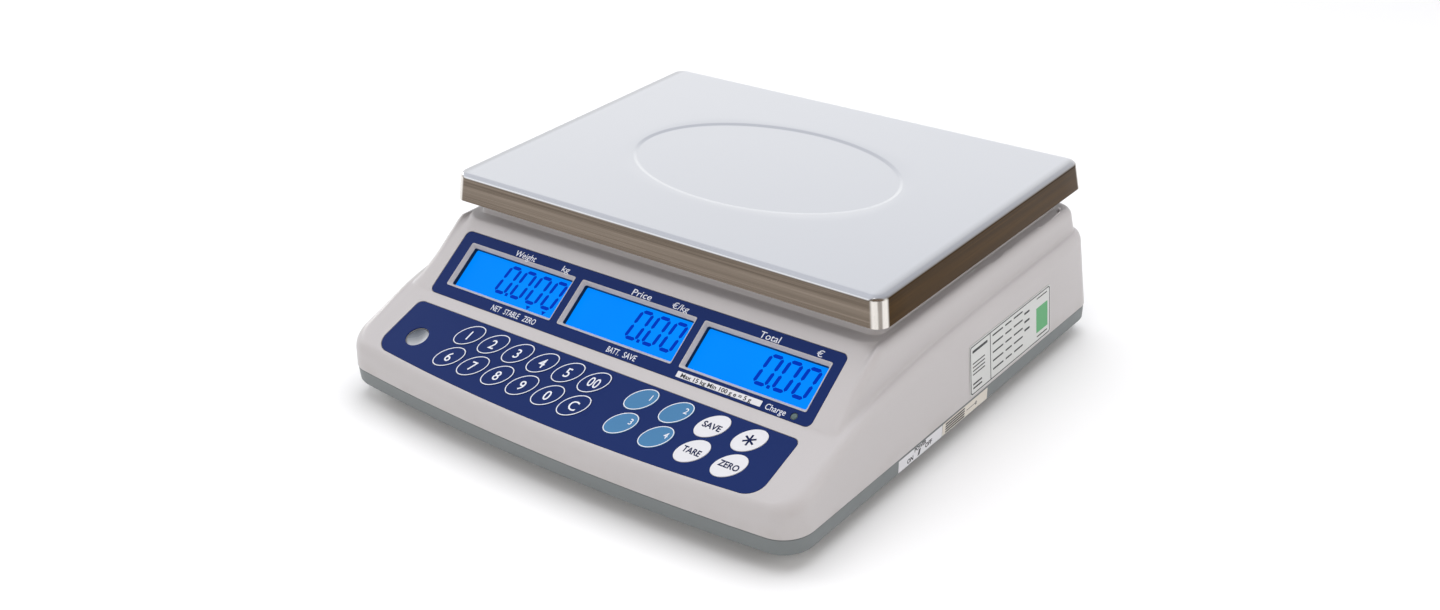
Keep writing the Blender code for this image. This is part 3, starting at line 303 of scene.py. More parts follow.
def brushed_steel(name, top, front, side):
    """Steel with painted light: a painted dark reflection of the room on the flanges, painted shade on the
    flanges and near the top's ends, and a painted highlight on the pressed corners.
    """
    sheet = Sheet(name)
    along_x = sheet.noise(1.0, 4.0, sheet.stretched((7.0, 1500.0, 1500.0)), 0.6)
    along_y = sheet.noise(1.0, 4.0, sheet.stretched((1500.0, 7.0, 1500.0)), 0.6)
    normal = sheet.node("ShaderNodeTexCoord", {}, {}, "Normal")
    faces = [sheet.size(sheet.axis(normal, index)) for index in range(3)]
    spot = [sheet.axis(sheet.place, index) for index in range(3)]
    near_end = sheet.between(PAN_HALF_X - 0.012, PAN_HALF_X - 0.010, sheet.size(spot[0]))
    near_long = sheet.between(PAN_HALF_Y - 0.012, PAN_HALF_Y - 0.010, sheet.size(spot[1] - PAN_Y))
    rim = 1 - (1 - near_end) * (1 - near_long)
    sideways = sheet.between(0.45, 0.9, faces[0])
    across_end = sheet.between(0.02, 0.25, faces[0])
    # The top's colour takes over from the painted flange colour on the rounded edge; on the end flanges the
    # painted flange colour reaches further up the rounding, as painted shade there.
    upward = sheet.between(across_end * 0.22 + 0.14, across_end * 0.50 + 0.46, faces[2])
    upward = 1 - (1 - upward) * rim
    # Painted shade on the top, darkening towards both ends.
    end_shade = sheet.between(PAN_HALF_X - 0.0085, PAN_HALF_X - 0.0020, sheet.size(spot[0])) * 0.30
    brush = along_x * (1 - sideways) + along_y * sideways
    cloud = sheet.noise(9.0, 3.0)
    rise = sheet.between(PAN_BOTTOM, PAN_TOP - 0.004, spot[2])
    # Painted highlight on the pressed corners, where the surface turns between front and end, with a darker
    # painted streak in its middle.
    turn = faces[0] * faces[1] * 2
    painted_corner_glint = sheet.between(0.15, 0.60, turn) * (1 - sheet.between(0.90, 0.97, turn) * 0.65)
    # The flange colours, front and end, are a painted reflection of a dark room.
    flange = sheet.tint(sideways, front, side)
    # Painted shade on the flanges: darker at the bottom, darkest just under the rounded top edge.
    shaded = 0.35 - rise * 0.35 + sheet.between(0.70, 1.0, rise) * 0.45
    flange = sheet.tint(shaded, flange, tuple(c * 0.45 for c in side))
    lighter = sheet.tint(sideways, tuple(c * 1.6 for c in front), tuple(c * 2.4 for c in side))
    flange = sheet.tint(sheet.between(0.38, 0.80, brush) * 0.5, flange, lighter)
    # The painted corner highlight goes on here.
    flange = sheet.tint(painted_corner_glint * 0.9, flange, (0.86, 0.83, 0.78))
    bright = sheet.tint(brush * 0.5 + cloud * 0.5, tuple(c * 0.975 for c in top), top)
    # The painted shade near the top's ends goes on here.
    bright = sheet.tint(end_shade, bright, (0.10, 0.09, 0.08))
    return sheet.finish(
        base_color=sheet.tint(upward, flange, bright),
        metallic=1.0,
        roughness=brush * 0.08 + cloud * 0.05 + 0.17,
        normal=sheet.bump(brush, 0.05, 0.00003),
    )


# The front and end colours are painted reflections of a dark room.
STEEL_TOP, FRONT_FLANGE_PAINTED_REFLECTION, END_FLANGE_PAINTED_REFLECTION = (0.88, 0.895, 0.93), (0.225, 0.186, 0.150), (0.046, 0.022, 0.003)
PLATTER_STEEL = brushed_steel("platter_steel", STEEL_TOP, FRONT_FLANGE_PAINTED_REFLECTION, END_FLANGE_PAINTED_REFLECTION)

# %% [markdown]
# The overlays are printed polyester film with a faint orange-peel texture. Inks are the same film with other
# colours, a touch thicker and duller, so they are made by one function too.

# %% Films and inks


def printed_film(name, colour, roughness, gloss=0.5):
    sheet = Sheet(name)
    cloud = sheet.noise(25.0, 3.0)
    peel = sheet.noise(1400.0, 1.5)
    pale = tuple(min(1.0, c * (1 + 0.05)) for c in colour)
    dull = tuple(c * (1 - 0.05) for c in colour)
    return sheet.finish(
        base_color=sheet.tint(cloud, dull, pale),
        roughness=cloud * 0.07 + peel * 0.06 + (roughness - 0.06),
        normal=sheet.bump(peel, 0.10, 0.00005),
        specular_ior_level=gloss,
    )


OVERLAY_FILM = printed_film("overlay_film", (0.0095, 0.0235, 0.112), 0.36, gloss=0.10)
PRESET_FILM = printed_film("preset_film", (0.066, 0.195, 0.370), 0.36, gloss=0.10)
WHITE_FILM = printed_film("white_film", (0.68, 0.68, 0.71), 0.36, gloss=0.3)
WHITE_INK = printed_film("white_ink", (0.72, 0.74, 0.80), 0.45, gloss=0.2)
BLUE_INK = printed_film("blue_ink", (0.006, 0.012, 0.060), 0.45, gloss=0.1)
LABEL_FILM = printed_film("label_film", (0.60, 0.61, 0.60), 0.40)
CREAM_FILM = printed_film("cream_film", (0.66, 0.62, 0.55), 0.45)
DARK_INK = printed_film("dark_ink", (0.022, 0.024, 0.028), 0.5)
GREEN_INK = printed_film("green_ink", (0.075, 0.35, 0.13), 0.4)

# %% [markdown]
# A lit display glows evenly, so the blue field is emission with only a slow drift in brightness. The
# liquid-crystal segments are the same field with most of the light held back.

# %% Lit display


def lit_display(name, glow, dim):
    sheet = Sheet(name)
    drift = sheet.noise(18.0, 1.0)
    return sheet.finish(
        base_color=tuple(c * 0.05 for c in glow),
        emission_color=sheet.tint(drift, dim, glow),
        emission_strength=1.0,
        roughness=0.30 + drift * 0.05,
        specular_ior_level=0.03,
    )


LCD_FIELD = lit_display("lcd_field", (0.0, 0.275, 1.0), (0.0, 0.215, 0.97))
LCD_SEGMENT = lit_display("lcd_segment", (0.0, 0.040, 0.50), (0.0, 0.030, 0.42))

# %% [markdown]
# The parts inside keep the shape they came with. Metal, rubber and board differ in colour, sheen and how
# fine their grain is, so one more function makes them all.

# %% Metal, rubber and the rest


def worn_metal(name, colour, roughness, metallic=1.0, grain=300.0):
    sheet = Sheet(name)
    cloud = sheet.noise(40.0, 4.0)
    fine = sheet.noise(grain, 3.0)
    dull = tuple(c * 0.82 for c in colour)
    return sheet.finish(
        base_color=sheet.tint(cloud * 0.5 + fine * 0.5, dull, colour),
        metallic=metallic,
        roughness=fine * 0.15 + (roughness - 0.07),
        normal=sheet.bump(fine, 0.15, 0.0001),
    )


ALUMINIUM = worn_metal("milled_aluminium", (0.75, 0.75, 0.76), 0.35)
ZINC = worn_metal("zinc_plate", (0.62, 0.62, 0.58), 0.36)
CAST_ALLOY = worn_metal("cast_alloy", (0.34, 0.34, 0.35), 0.55, 0.8, 900.0)
RUBBER = worn_metal("black_rubber", (0.022, 0.022, 0.023), 0.78, 0.0, 1200.0)
BOARD = worn_metal("circuit_board", (0.02, 0.16, 0.06), 0.45, 0.0)
CLEAR_FILM = worn_metal("switch_film", (0.55, 0.55, 0.50), 0.35, 0.0)
LIGHT_GUIDE = worn_metal("light_guide", (0.75, 0.80, 0.85), 0.35, 0.0)
BATTERY = worn_metal("battery_case", (0.03, 0.03, 0.035), 0.5, 0.0)
CABLE = worn_metal("cable_sheath", (0.25, 0.25, 0.26), 0.6, 0.0)
LED_LENS = worn_metal("led_lens", (0.10, 0.15, 0.15), 0.22, 0.0)
INNER_FINISHES = {
    "backlight": LIGHT_GUIDE,
    "battery": BATTERY,
    "battery_strap": ZINC,
    "buffer_front_left": RUBBER,
    "buffer_front_right": RUBBER,
    "buffer_rear_left": RUBBER,
    "buffer_rear_right": RUBBER,
    "chassis_plate": ZINC,
    "display_board": BOARD,
    "load_cell": ALUMINIUM,
    "load_cell_cable": CABLE,
    "load_cell_riser": CAST_ALLOY,
    "main_board": BOARD,
    "membrane_circuit": CLEAR_FILM,
    "overload_stop": ZINC,
    "platform_support": CAST_ALLOY,
    "switch_body": BLACK_PLASTIC,
    "power_rocker": BLACK_PLASTIC,
    "dc_jack": BLACK_PLASTIC,
}
for node, finish in INNER_FINISHES.items():
    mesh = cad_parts[node].data
    mesh.materials.clear()
    mesh.materials.append(finish)
print(len(INNER_FINISHES), "pieces keep their shape and take a finish")

# %% [markdown]
# ## Tools for making pieces
# Most pieces are outlines given a thickness, or rings of points skinned into a surface. Every piece ends
# with its place worked into its mesh, rides on a body and, where it stands for a plain solid, replaces it.

# %% Piece tools


def finished(name, mesh, body, replaces=(), finish=None, smooth=None):
    """Make an object of a mesh whose place is already in it, and hand it to its body."""
    piece = bpy.data.objects.new(name, mesh)
    bpy.context.scene.collection.objects.link(piece)
    if finish is not None:
        mesh.materials.clear()
        mesh.materials.append(finish)
    if smooth is not None:
        mesh.shade_smooth()
        mesh.set_sharp_from_angle(angle=math.radians(smooth))
    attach(piece, body)
    if replaces:
        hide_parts(*replaces)
    return piece


def settled(thing):
    """The plain mesh of an object with its modifiers worked out and its place in the points."""
    bpy.context.view_layer.update()
    evaluated = thing.evaluated_get(bpy.context.evaluated_depsgraph_get())
    mesh = bpy.data.meshes.new_from_object(evaluated)
    mesh.transform(thing.matrix_world)
    bpy.data.objects.remove(thing, do_unlink=True)
    return mesh


def as_mesh(bm, name="shape", place=None):
    mesh = bpy.data.meshes.new(name)
    if place is not None:
        bm.transform(place)
    bm.to_mesh(mesh)
    bm.free()
    return mesh


def arc(centre, radius, start, end, steps):
    angles = [math.radians(start + (end - start) * i / steps) for i in range(steps + 1)]
    return [(centre[0] + radius * math.cos(a), centre[1] + radius * math.sin(a)) for a in angles]


def rounded_rectangle(half_x, half_y, radius, centre=(0, 0), steps=6):
    points = []
    for turn, (sx, sy) in enumerate(((1, 1), (-1, 1), (-1, -1), (1, -1))):
        corner = (centre[0] + sx * (half_x - radius), centre[1] + sy * (half_y - radius))
        points += arc(corner, radius, 90 * turn, 90 * turn + 90, steps)
    return points


def oval(long_half, short_half, tilt=0.0, centre=(0, 0), steps=48):
    points = []
    for i in range(steps):
        a = 2 * math.pi * i / steps
        x, y = long_half * math.cos(a), short_half * math.sin(a)
        across = x * math.cos(tilt) - y * math.sin(tilt)
        points.append((centre[0] + across, centre[1] + x * math.sin(tilt) + y * math.cos(tilt)))
    return points


def slab(outline, low, high, holes=(), edge=0.0):
    """An outline given a thickness, with straight holes and, if asked, a small bevel on its top edges."""
    bm = bmesh.new()
    edges = []
    for loop in (outline, *holes):
        verts = [bm.verts.new((x, y, low)) for x, y in loop]
        edges += [bm.edges.new((verts[i - 1], verts[i])) for i in range(len(verts))]
    bmesh.ops.triangle_fill(bm, edges=edges, use_beauty=True, normal=(0, 0, -1))
    raised = bmesh.ops.extrude_face_region(bm, geom=bm.faces[:])
    upper = [item for item in raised["geom"] if isinstance(item, bmesh.types.BMVert)]
    bmesh.ops.translate(bm, verts=upper, vec=(0, 0, high - low))
    bmesh.ops.recalc_face_normals(bm, faces=bm.faces[:])
    if edge:
        rim = [e for e in bm.edges if len(e.link_faces) == 2 and e.calc_face_angle() > 1.0]
        rim = [e for e in rim if min(v.co.z for v in e.verts) > high - 1e-6]
        bmesh.ops.bevel(bm, geom=rim, offset=edge, segments=2, affect="EDGES", profile=0.5)
    return bm


INK = 0.00004
CAPITAL = 0.729


def words(text, panel, centre, lift, high, wide=None, squeeze=1.0, bold=0.0, lean=0.0):
    """Ink lettering on a panel: capitals of a height, fitted to a width where one is given."""
    size = high / CAPITAL
    curve = bpy.data.curves.new("words", "FONT")
    curve.body = text
    curve.size = size
    curve.align_x = "CENTER"
    curve.extrude = INK / 2
    curve.offset = bold * size
    curve.resolution_u = 3
    thing = bpy.data.objects.new("words", curve)
    bpy.context.scene.collection.objects.link(thing)
    mesh = settled(thing)
    bpy.data.curves.remove(curve)
    across = [v.co.x for v in mesh.vertices]
    if wide:
        squeeze = wide / (max(across) - min(across))
    middle = (max(across) + min(across)) / 2
    shape = Matrix(((squeeze, lean, 0, -squeeze * middle), (0, 1, 0, -high / 2), (0, 0, 1, 0), (0, 0, 0, 1)))
    mesh.transform(panel @ Matrix.Translation((*centre, lift + INK / 2)) @ shape)
    return mesh


def joined(name, parts):
    """Join (mesh, finish) pairs into one mesh with a material slot for each finish."""
    bm = bmesh.new()
    finishes = []
    for mesh, finish in parts:
        if finish not in finishes:
            finishes.append(finish)
        start = len(bm.faces)
        bm.from_mesh(mesh)
        bm.faces.ensure_lookup_table()
        for face in bm.faces[start:]:
            face.material_index = finishes.index(finish)
        bpy.data.meshes.remove(mesh)
    whole = as_mesh(bm, name)
    for finish in finishes:
        whole.materials.append(finish)
    return whole


def cut(mesh, tools):
    """Take several tool meshes away from a mesh, at once."""
    body = bpy.data.objects.new("body", mesh)
    bpy.context.scene.collection.objects.link(body)
    helpers = []
    for tool in tools:
        helper = bpy.data.objects.new("tool", tool)
        bpy.context.scene.collection.objects.link(helper)
        helpers.append(helper)
        modifier = body.modifiers.new("cut", "BOOLEAN")
        modifier.operation = "DIFFERENCE"
        modifier.solver = "EXACT"
        modifier.object = helper
    result = settled(body)
    for helper in helpers:
        bpy.data.objects.remove(helper, do_unlink=True)
    return result


def centre_on(node, panel):
    """Middle of a node's box in a panel's own coordinates."""
    low, high = (Vector(corner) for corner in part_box(node))
    return panel.inverted() @ ((low + high) / 2)


# %% [markdown]
# ## Repeats by Geometry Nodes
# Display digits, grip ribs, foot knurls and lines of small print are the same little shape again and again.
# Two small trees do them all: one sets copies along a line, the other round a circle.

# %% Geometry Nodes trees


def repeat_tree(name, spread):
    """A tree that copies an object along a line or round a circle."""
    tree = bpy.data.node_groups.new(name, "GeometryNodeTree")
    face = tree.interface
    sockets = {}
    for label, kind in (
        ("Copy", "NodeSocketObject"),
        ("Count", "NodeSocketInt"),
        ("Start", "NodeSocketVector"),
        ("Step", "NodeSocketVector"),
        ("Radius", "NodeSocketFloat"),
        ("Finish", "NodeSocketMaterial"),
    ):
        sockets[label] = face.new_socket(label, in_out="INPUT", socket_type=kind)
    face.new_socket("Geometry", in_out="OUTPUT", socket_type="NodeSocketGeometry")
    nodes, links = tree.nodes, tree.links
    given, result = nodes.new("NodeGroupInput"), nodes.new("NodeGroupOutput")
    copy = nodes.new("GeometryNodeObjectInfo")
    place = nodes.new("GeometryNodeInstanceOnPoints")
    real = nodes.new("GeometryNodeRealizeInstances")
    paint = nodes.new("GeometryNodeSetMaterial")
    links.new(given.outputs["Copy"], copy.inputs["Object"])
    if spread == "line":
        points = nodes.new("GeometryNodeMeshLine")
        links.new(given.outputs["Count"], points.inputs["Count"])
        links.new(given.outputs["Start"], points.inputs["Start Location"])
        links.new(given.outputs["Step"], points.inputs["Offset"])
        links.new(points.outputs["Mesh"], place.inputs["Points"])
    else:
        points = nodes.new("GeometryNodeMeshCircle")
        links.new(given.outputs["Count"], points.inputs["Vertices"])
        links.new(given.outputs["Radius"], points.inputs["Radius"])
        turn = nodes.new("FunctionNodeAlignRotationToVector")
        turn.axis = "X"
        where = nodes.new("GeometryNodeInputPosition")
        links.new(where.outputs["Position"], turn.inputs["Vector"])
        links.new(turn.outputs["Rotation"], place.inputs["Rotation"])
        links.new(points.outputs["Mesh"], place.inputs["Points"])
    links.new(copy.outputs["Geometry"], place.inputs["Instance"])
    links.new(place.outputs["Instances"], real.inputs["Geometry"])
    links.new(real.outputs["Geometry"], paint.inputs["Geometry"])
    links.new(given.outputs["Finish"], paint.inputs["Material"])
    links.new(paint.outputs["Geometry"], result.inputs["Geometry"])
    return tree, sockets


LINE_TREE = repeat_tree("copies_in_line", "line")
RING_TREE = repeat_tree("copies_round_circle", "ring")


def repeated(tree_and_sockets, copy_mesh, finish, place=None, **values):
    """Run a repeat tree on a small mesh and give back the plain mesh."""
    tree, sockets = tree_and_sockets
    copy = bpy.data.objects.new("copy", copy_mesh)
    bpy.context.scene.collection.objects.link(copy)
    holder = bpy.data.objects.new("holder", bpy.data.meshes.new("holder"))
    bpy.context.scene.collection.objects.link(holder)
    modifier = holder.modifiers.new("repeat", "NODES")
    modifier.node_group = tree
    modifier[sockets["Copy"].identifier] = copy
    modifier[sockets["Finish"].identifier] = finish
    for label, value in values.items():
        modifier[sockets[label.title()].identifier] = value
    if place is not None:
        holder.matrix_world = place
    mesh = settled(holder)
    bpy.data.objects.remove(copy, do_unlink=True)
    return mesh


# %% [markdown]
# ## Upper housing
# The housing is one moulding: a low skirt, a keypad slope, a steeper display slope with a raised block
# behind it, a level ledge and a raised step under the platter. All of it follows one rule: rings that
# start as the outline on the table and climb the surface. Each ring has the same number of points, so the
# rings can be skinned into a clean grid of faces.

# %% Heights of the housing's top surfaces
LEDGE_Z = 0.0830
SHOULDER_START_Y, SHOULDER_RISE, SHOULDER_DEPTH = -0.1065, 0.0165, 0.008
VALLEY_INSET, VALLEY_CORNER = 0.0083, 0.0057
BLOCK_LEAN, BLOCK_CORNER, BLOCK_EDGE, SLOPE_EDGE = 0.0012, 0.008, 0.004, 0.007
WALL_DRAFT = 0.055
FRONT_CORNER, REAR_CORNER, BOW_RADIUS = 0.018, 0.015, 1.5
POINTS = {"bow": 26, "corner": 14, "keypad": 14, "display": 22, "side": 16, "rear_corner": 12, "rear": 12}


def ease(low, high, value):
    t = min(max((value - low) / (high - low), 0.0), 1.0)
    return t * t * (3 - 2 * t)


def slope_height(origin, slope, y):
    return origin.z + (y - origin.y) * math.tan(slope)


def keypad_height(y):
    return slope_height(KEYPAD_ORIGIN, KEYPAD_SLOPE, y)


def shoulder_height(y):
    """Top of the skirt: the keypad plane, then a curve that levels off towards the rear."""
    if y <= SHOULDER_START_Y:
        return keypad_height(y)
    fade = math.exp(-(y - SHOULDER_START_Y) * math.tan(KEYPAD_SLOPE) / SHOULDER_RISE)
    return keypad_height(SHOULDER_START_Y) + SHOULDER_RISE * (1 - fade)


def block_height(y):
    return min(slope_height(DISPLAY_ORIGIN, DISPLAY_SLOPE, y), LEDGE_Z)


keypad_tan, display_tan = math.tan(KEYPAD_SLOPE), math.tan(DISPLAY_SLOPE)
keypad_zero = KEYPAD_ORIGIN.z - keypad_tan * KEYPAD_ORIGIN.y
display_zero = DISPLAY_ORIGIN.z - display_tan * DISPLAY_ORIGIN.y
CREASE_Y = (keypad_zero - display_zero) / (display_tan - keypad_tan)
DISPLAY_SIDE_Y = CREASE_Y + VALLEY_CORNER
LEDGE_FRONT_Y = DISPLAY_ORIGIN.y + (LEDGE_Z - DISPLAY_ORIGIN.z) / display_tan
LONG_SIDE_Y = LEDGE_FRONT_Y + 0.012
print(f"slopes meet at y = {1000 * CREASE_Y:.1f} mm, ledge starts at {1000 * LEDGE_FRONT_Y:.1f} mm")

# %% Rings of the skirt


def fractions(count):
    return [(i + 1) / count for i in range(count)]


def footprint():
    """Right half of the outline, front centre to rear centre: x, y and outward direction."""
    centre_x, inner = HALF_WIDTH - FRONT_CORNER, BOW_RADIUS - FRONT_CORNER
    bow_centre = FRONT_Y + BOW_RADIUS
    centre_y = bow_centre - math.sqrt(inner**2 - centre_x**2)
    sweep = math.asin(centre_x / inner)
    points = []
    for t in [0.0] + fractions(POINTS["bow"]):
        nx, ny = math.sin(sweep * t), -math.cos(sweep * t)
        points.append((BOW_RADIUS * nx, bow_centre + BOW_RADIUS * ny, nx, ny))
    for t in fractions(POINTS["corner"]):
        a = (sweep - math.pi / 2) * (1 - t)
        nx, ny = math.cos(a), math.sin(a)
        points.append((centre_x + FRONT_CORNER * nx, centre_y + FRONT_CORNER * ny, nx, ny))
    spans = (
        (centre_y, DISPLAY_SIDE_Y, POINTS["keypad"]),
        (DISPLAY_SIDE_Y, LONG_SIDE_Y, POINTS["display"]),
        (LONG_SIDE_Y, REAR_Y - REAR_CORNER, POINTS["side"]),
    )
    for start, end, count in spans:
        points += [(HALF_WIDTH, start + (end - start) * t, 1.0, 0.0) for t in fractions(count)]
    for t in fractions(POINTS["rear_corner"]):
        nx, ny = math.cos(t * math.pi / 2), math.sin(t * math.pi / 2)
        x = HALF_WIDTH - REAR_CORNER + REAR_CORNER * nx
        points.append((x, REAR_Y - REAR_CORNER + REAR_CORNER * ny, nx, ny))
    points += [((HALF_WIDTH - REAR_CORNER) * (1 - t), REAR_Y, 0.0, 1.0) for t in fractions(POINTS["rear"])]
    return points


FOOTPRINT = footprint()


def inset_ring(inset, height):
    """The outline moved inwards; inset is a number or a rule, height too."""
    ring = []
    for x, y, nx, ny in FOOTPRINT:
        d = inset(y, nx) if callable(inset) else inset
        moved = (x - nx * d, y - ny * d)
        ring.append(Vector((*moved, height(moved[1]) if callable(height) else height)))
    return ring


def shoulder_rounding(y, nx):
    """How far the rounding at the top of the skirt reaches inwards."""
    if y > 0:
        return 0.0046
    side = 0.008 - 0.0034 * ease(-0.135, -0.100, y)
    return 0.0045 + (side - 0.0045) * ease(0.1, 1.0, nx)


def skirt_ring(angle):
    across = 1 - math.cos(math.radians(angle))
    down = SHOULDER_DEPTH * (1 - math.sin(math.radians(angle)))

    def inset(y, nx):
        draft = WALL_DRAFT * (1 + ease(0.12, REAR_Y, y))
        return draft * (shoulder_height(y) - SHOULDER_DEPTH - PARTING_Z) + shoulder_rounding(y, nx) * across

    return inset_ring(inset, lambda y: shoulder_height(y) - down)


# %% Rings of the raised block and the step


def rear_end(half, rear, corner):
    points = []
    for t in fractions(POINTS["rear_corner"]):
        a = t * math.pi / 2
        points.append((half - corner + corner * math.cos(a), rear - corner + corner * math.sin(a)))
    return points + [((half - corner) * (1 - t), rear) for t in fractions(POINTS["rear"])]


def block_ring(level, lean, angle):
    """A ring on the block: lean is how far up its wall, angle how far round its top edge."""
    foot = level * 0.0025
    across, up = 1 - math.cos(math.radians(angle)), math.sin(math.radians(angle))

    def half_width(y):
        on_slope = 1 - ease(DISPLAY_SIDE_Y, LEDGE_FRONT_Y, y)
        edge = BLOCK_EDGE + (SLOPE_EDGE - BLOCK_EDGE) * on_slope
        return HALF_WIDTH - VALLEY_INSET - BLOCK_LEAN * lean - edge * across

    def height(y):
        rise = block_height(y) - shoulder_height(y)
        edge = min(BLOCK_EDGE * 1.6, 0.6 * rise)
        return shoulder_height(y) + (rise - edge) * lean + edge * up

    rear = REAR_Y - VALLEY_INSET - BLOCK_LEAN * lean - BLOCK_EDGE * across
    start_x = half_width(DISPLAY_SIDE_Y) - VALLEY_CORNER
    outline = [(start_x * i / POINTS["bow"], CREASE_Y + foot) for i in range(POINTS["bow"] + 1)]
    for t in fractions(POINTS["corner"] + POINTS["keypad"]):
        a = t * math.pi / 2
        y = DISPLAY_SIDE_Y - (VALLEY_CORNER - foot) * math.cos(a)
        outline.append((start_x + VALLEY_CORNER * math.sin(a), y))
    spans = (
        (DISPLAY_SIDE_Y, LONG_SIDE_Y, POINTS["display"]),
        (LONG_SIDE_Y, rear - BLOCK_CORNER, POINTS["side"]),
    )
    for start, end, count in spans:
        along = [start + (end - start) * t for t in fractions(count)]
        outline += [(half_width(y), y) for y in along]
    outline += rear_end(half_width(rear), rear, BLOCK_CORNER)
    return [Vector((x, y, height(y))) for x, y in outline]


def level_ring(half, front, rear, corner, z):
    straight = POINTS["bow"] + POINTS["corner"] + POINTS["keypad"]
    outline = [((half - corner) * i / straight, front) for i in range(straight + 1)]
    for t in fractions(POINTS["display"]):
        a = (t - 1) * math.pi / 2
        outline.append((half - corner + corner * math.cos(a), front + corner + corner * math.sin(a)))
    outline += [(half, front + corner + (rear - front - 2 * corner) * t) for t in fractions(POINTS["side"])]
    outline += rear_end(half, rear, corner)
    return [Vector((x, y, z)) for x, y in outline]


def between_rings(first, second, places):
    return [[a.lerp(b, t) for a, b in zip(first, second)] for t in places]


# %% Stack of rings, then soft corners
STEP_HALF, STEP_FRONT, STEP_REAR, STEP_EDGE = 0.142, -0.0500, 0.1405, 0.0032


def step_ring(angle, z=None, spread=0.0):
    inset = STEP_EDGE * (1 - math.cos(math.radians(angle))) - spread
    height = PLATEAU_Z - STEP_EDGE * (1 - math.sin(math.radians(angle))) if z is None else z
    return level_ring(STEP_HALF - inset, STEP_FRONT + inset, STEP_REAR - inset, 0.007, height)


def housing_rings():
    """Rings with, for each, how far its corners are softened."""
    rings = [(inset_ring(0.0, PARTING_Z), 0.0)]
    skirt_foot = skirt_ring(0)
    rings += [(ring, 0.0) for ring in between_rings(rings[0][0], skirt_foot, (0.25, 0.5, 0.75))]
    rings += [(skirt_ring(angle), 0.0005) for angle in range(0, 91, 10)]
    valley, wall = block_ring(0.0, 0.0, 0), block_ring(0.4, 1.0, 0)
    rings += [(ring, 0.0022) for ring in between_rings(rings[-1][0], valley, (0.2, 0.5, 0.75, 0.85, 0.95))]
    rings.append((valley, 0.0022))
    rings += [(ring, 0.0022) for ring in between_rings(valley, wall, (0.04, 0.09, 0.15, 0.22, 0.35, 0.6))]
    rings.append((wall, 0.0020))
    rings += [(block_ring(0.4 + 0.2 * angle / 30, 1.0, angle), 0.0020) for angle in range(10, 91, 10)]
    inset = VALLEY_INSET + BLOCK_LEAN + BLOCK_EDGE + 0.0006
    ledge = level_ring(HALF_WIDTH - inset, LEDGE_FRONT_Y, REAR_Y - inset, 0.012, LEDGE_Z)
    places = (0.02, 0.05, 0.1, 0.25, 0.5, 0.75, 0.9, 0.95, 0.98)
    rings += [(ring, 0.0020) for ring in between_rings(rings[-1][0], ledge, places)]
    rings.append((ledge, 0.0014))
    step_foot = step_ring(0, LEDGE_Z, 0.0006)
    rings += [(ring, 0.0012) for ring in between_rings(ledge, step_foot, (0.08, 0.2, 0.5, 0.8, 0.93))]
    rings.append((step_foot, 0.0012))
    rings += [(ring, 0.0010) for ring in between_rings(step_foot, step_ring(0), (0.06, 0.14, 0.3, 0.7))]
    rings += [(step_ring(angle), 0.0004) for angle in range(0, 91, 15)]
    return rings


def softened(rings):
    """Average each point with its neighbours along its strip, so that hard corners become fillets."""
    reaches = [reach for _, reach in rings]
    strips = []
    for strip in zip(*(ring for ring, _ in rings)):
        travel = [0.0]
        for a, b in zip(strip, strip[1:]):
            travel.append(travel[-1] + (b - a).length)

        def on_strip(s):
            k = next((i for i in range(1, len(travel) - 1) if travel[i] >= s), len(travel) - 1)
            span = travel[k] - travel[k - 1]
            return strip[k - 1].lerp(strip[k], (s - travel[k - 1]) / span if span > 1e-9 else 0.0)

        line = []
        for point, s, reach in zip(strip, travel, reaches):
            reach = min(reach, s, travel[-1] - s)
            if reach < 1e-6:
                line.append(point.copy())
                continue
            total, weight_sum = Vector((0, 0, 0)), 0.0
            for k in range(-6, 7):
                weight = 7 - abs(k)
                total += on_strip(s + reach * k / 6) * weight
                weight_sum += weight
            line.append(total / weight_sum)
        strips.append(line)
    return list(zip(*strips))


def loft(rings, close_first=False, close_last=False):
    """Skin half rings, mirrored to whole loops, into one surface."""
    bm = bmesh.new()
    loops = []
    for ring in rings:
        whole = list(ring) + [Vector((-p[0], p[1], p[2])) for p in list(ring)[-2:0:-1]]
        loops.append([bm.verts.new(point) for point in whole])
    for low, high in zip(loops, loops[1:]):
        for i in range(len(low)):
            bm.faces.new((low[i - 1], low[i], high[i], high[i - 1]))
    if close_first:
        bm.faces.new(loops[0][::-1])
    if close_last:
        bm.faces.new(loops[-1])
    return bm


def with_wall(bm, thickness, name):
    """Give a surface a wall on its inside."""
    shell = bpy.data.objects.new(name, as_mesh(bm, name))
    bpy.context.scene.collection.objects.link(shell)
    solidify = shell.modifiers.new("wall", "SOLIDIFY")
    solidify.thickness = thickness
    solidify.offset = -1
    return settled(shell)


housing_skin = loft(softened(housing_rings()), close_last=True)
print(len(housing_skin.faces), "faces on the housing's skin")
HOUSING_WALL = 0.0022
housing_shell = with_wall(housing_skin, HOUSING_WALL, "housing_shell")

# %% [markdown]
# The openings are cut after the wall is there, with the exact Boolean solver: recesses for both overlays,
# three bevelled display windows, the level's hole, the lamp's hole and the hole for the platter's column.

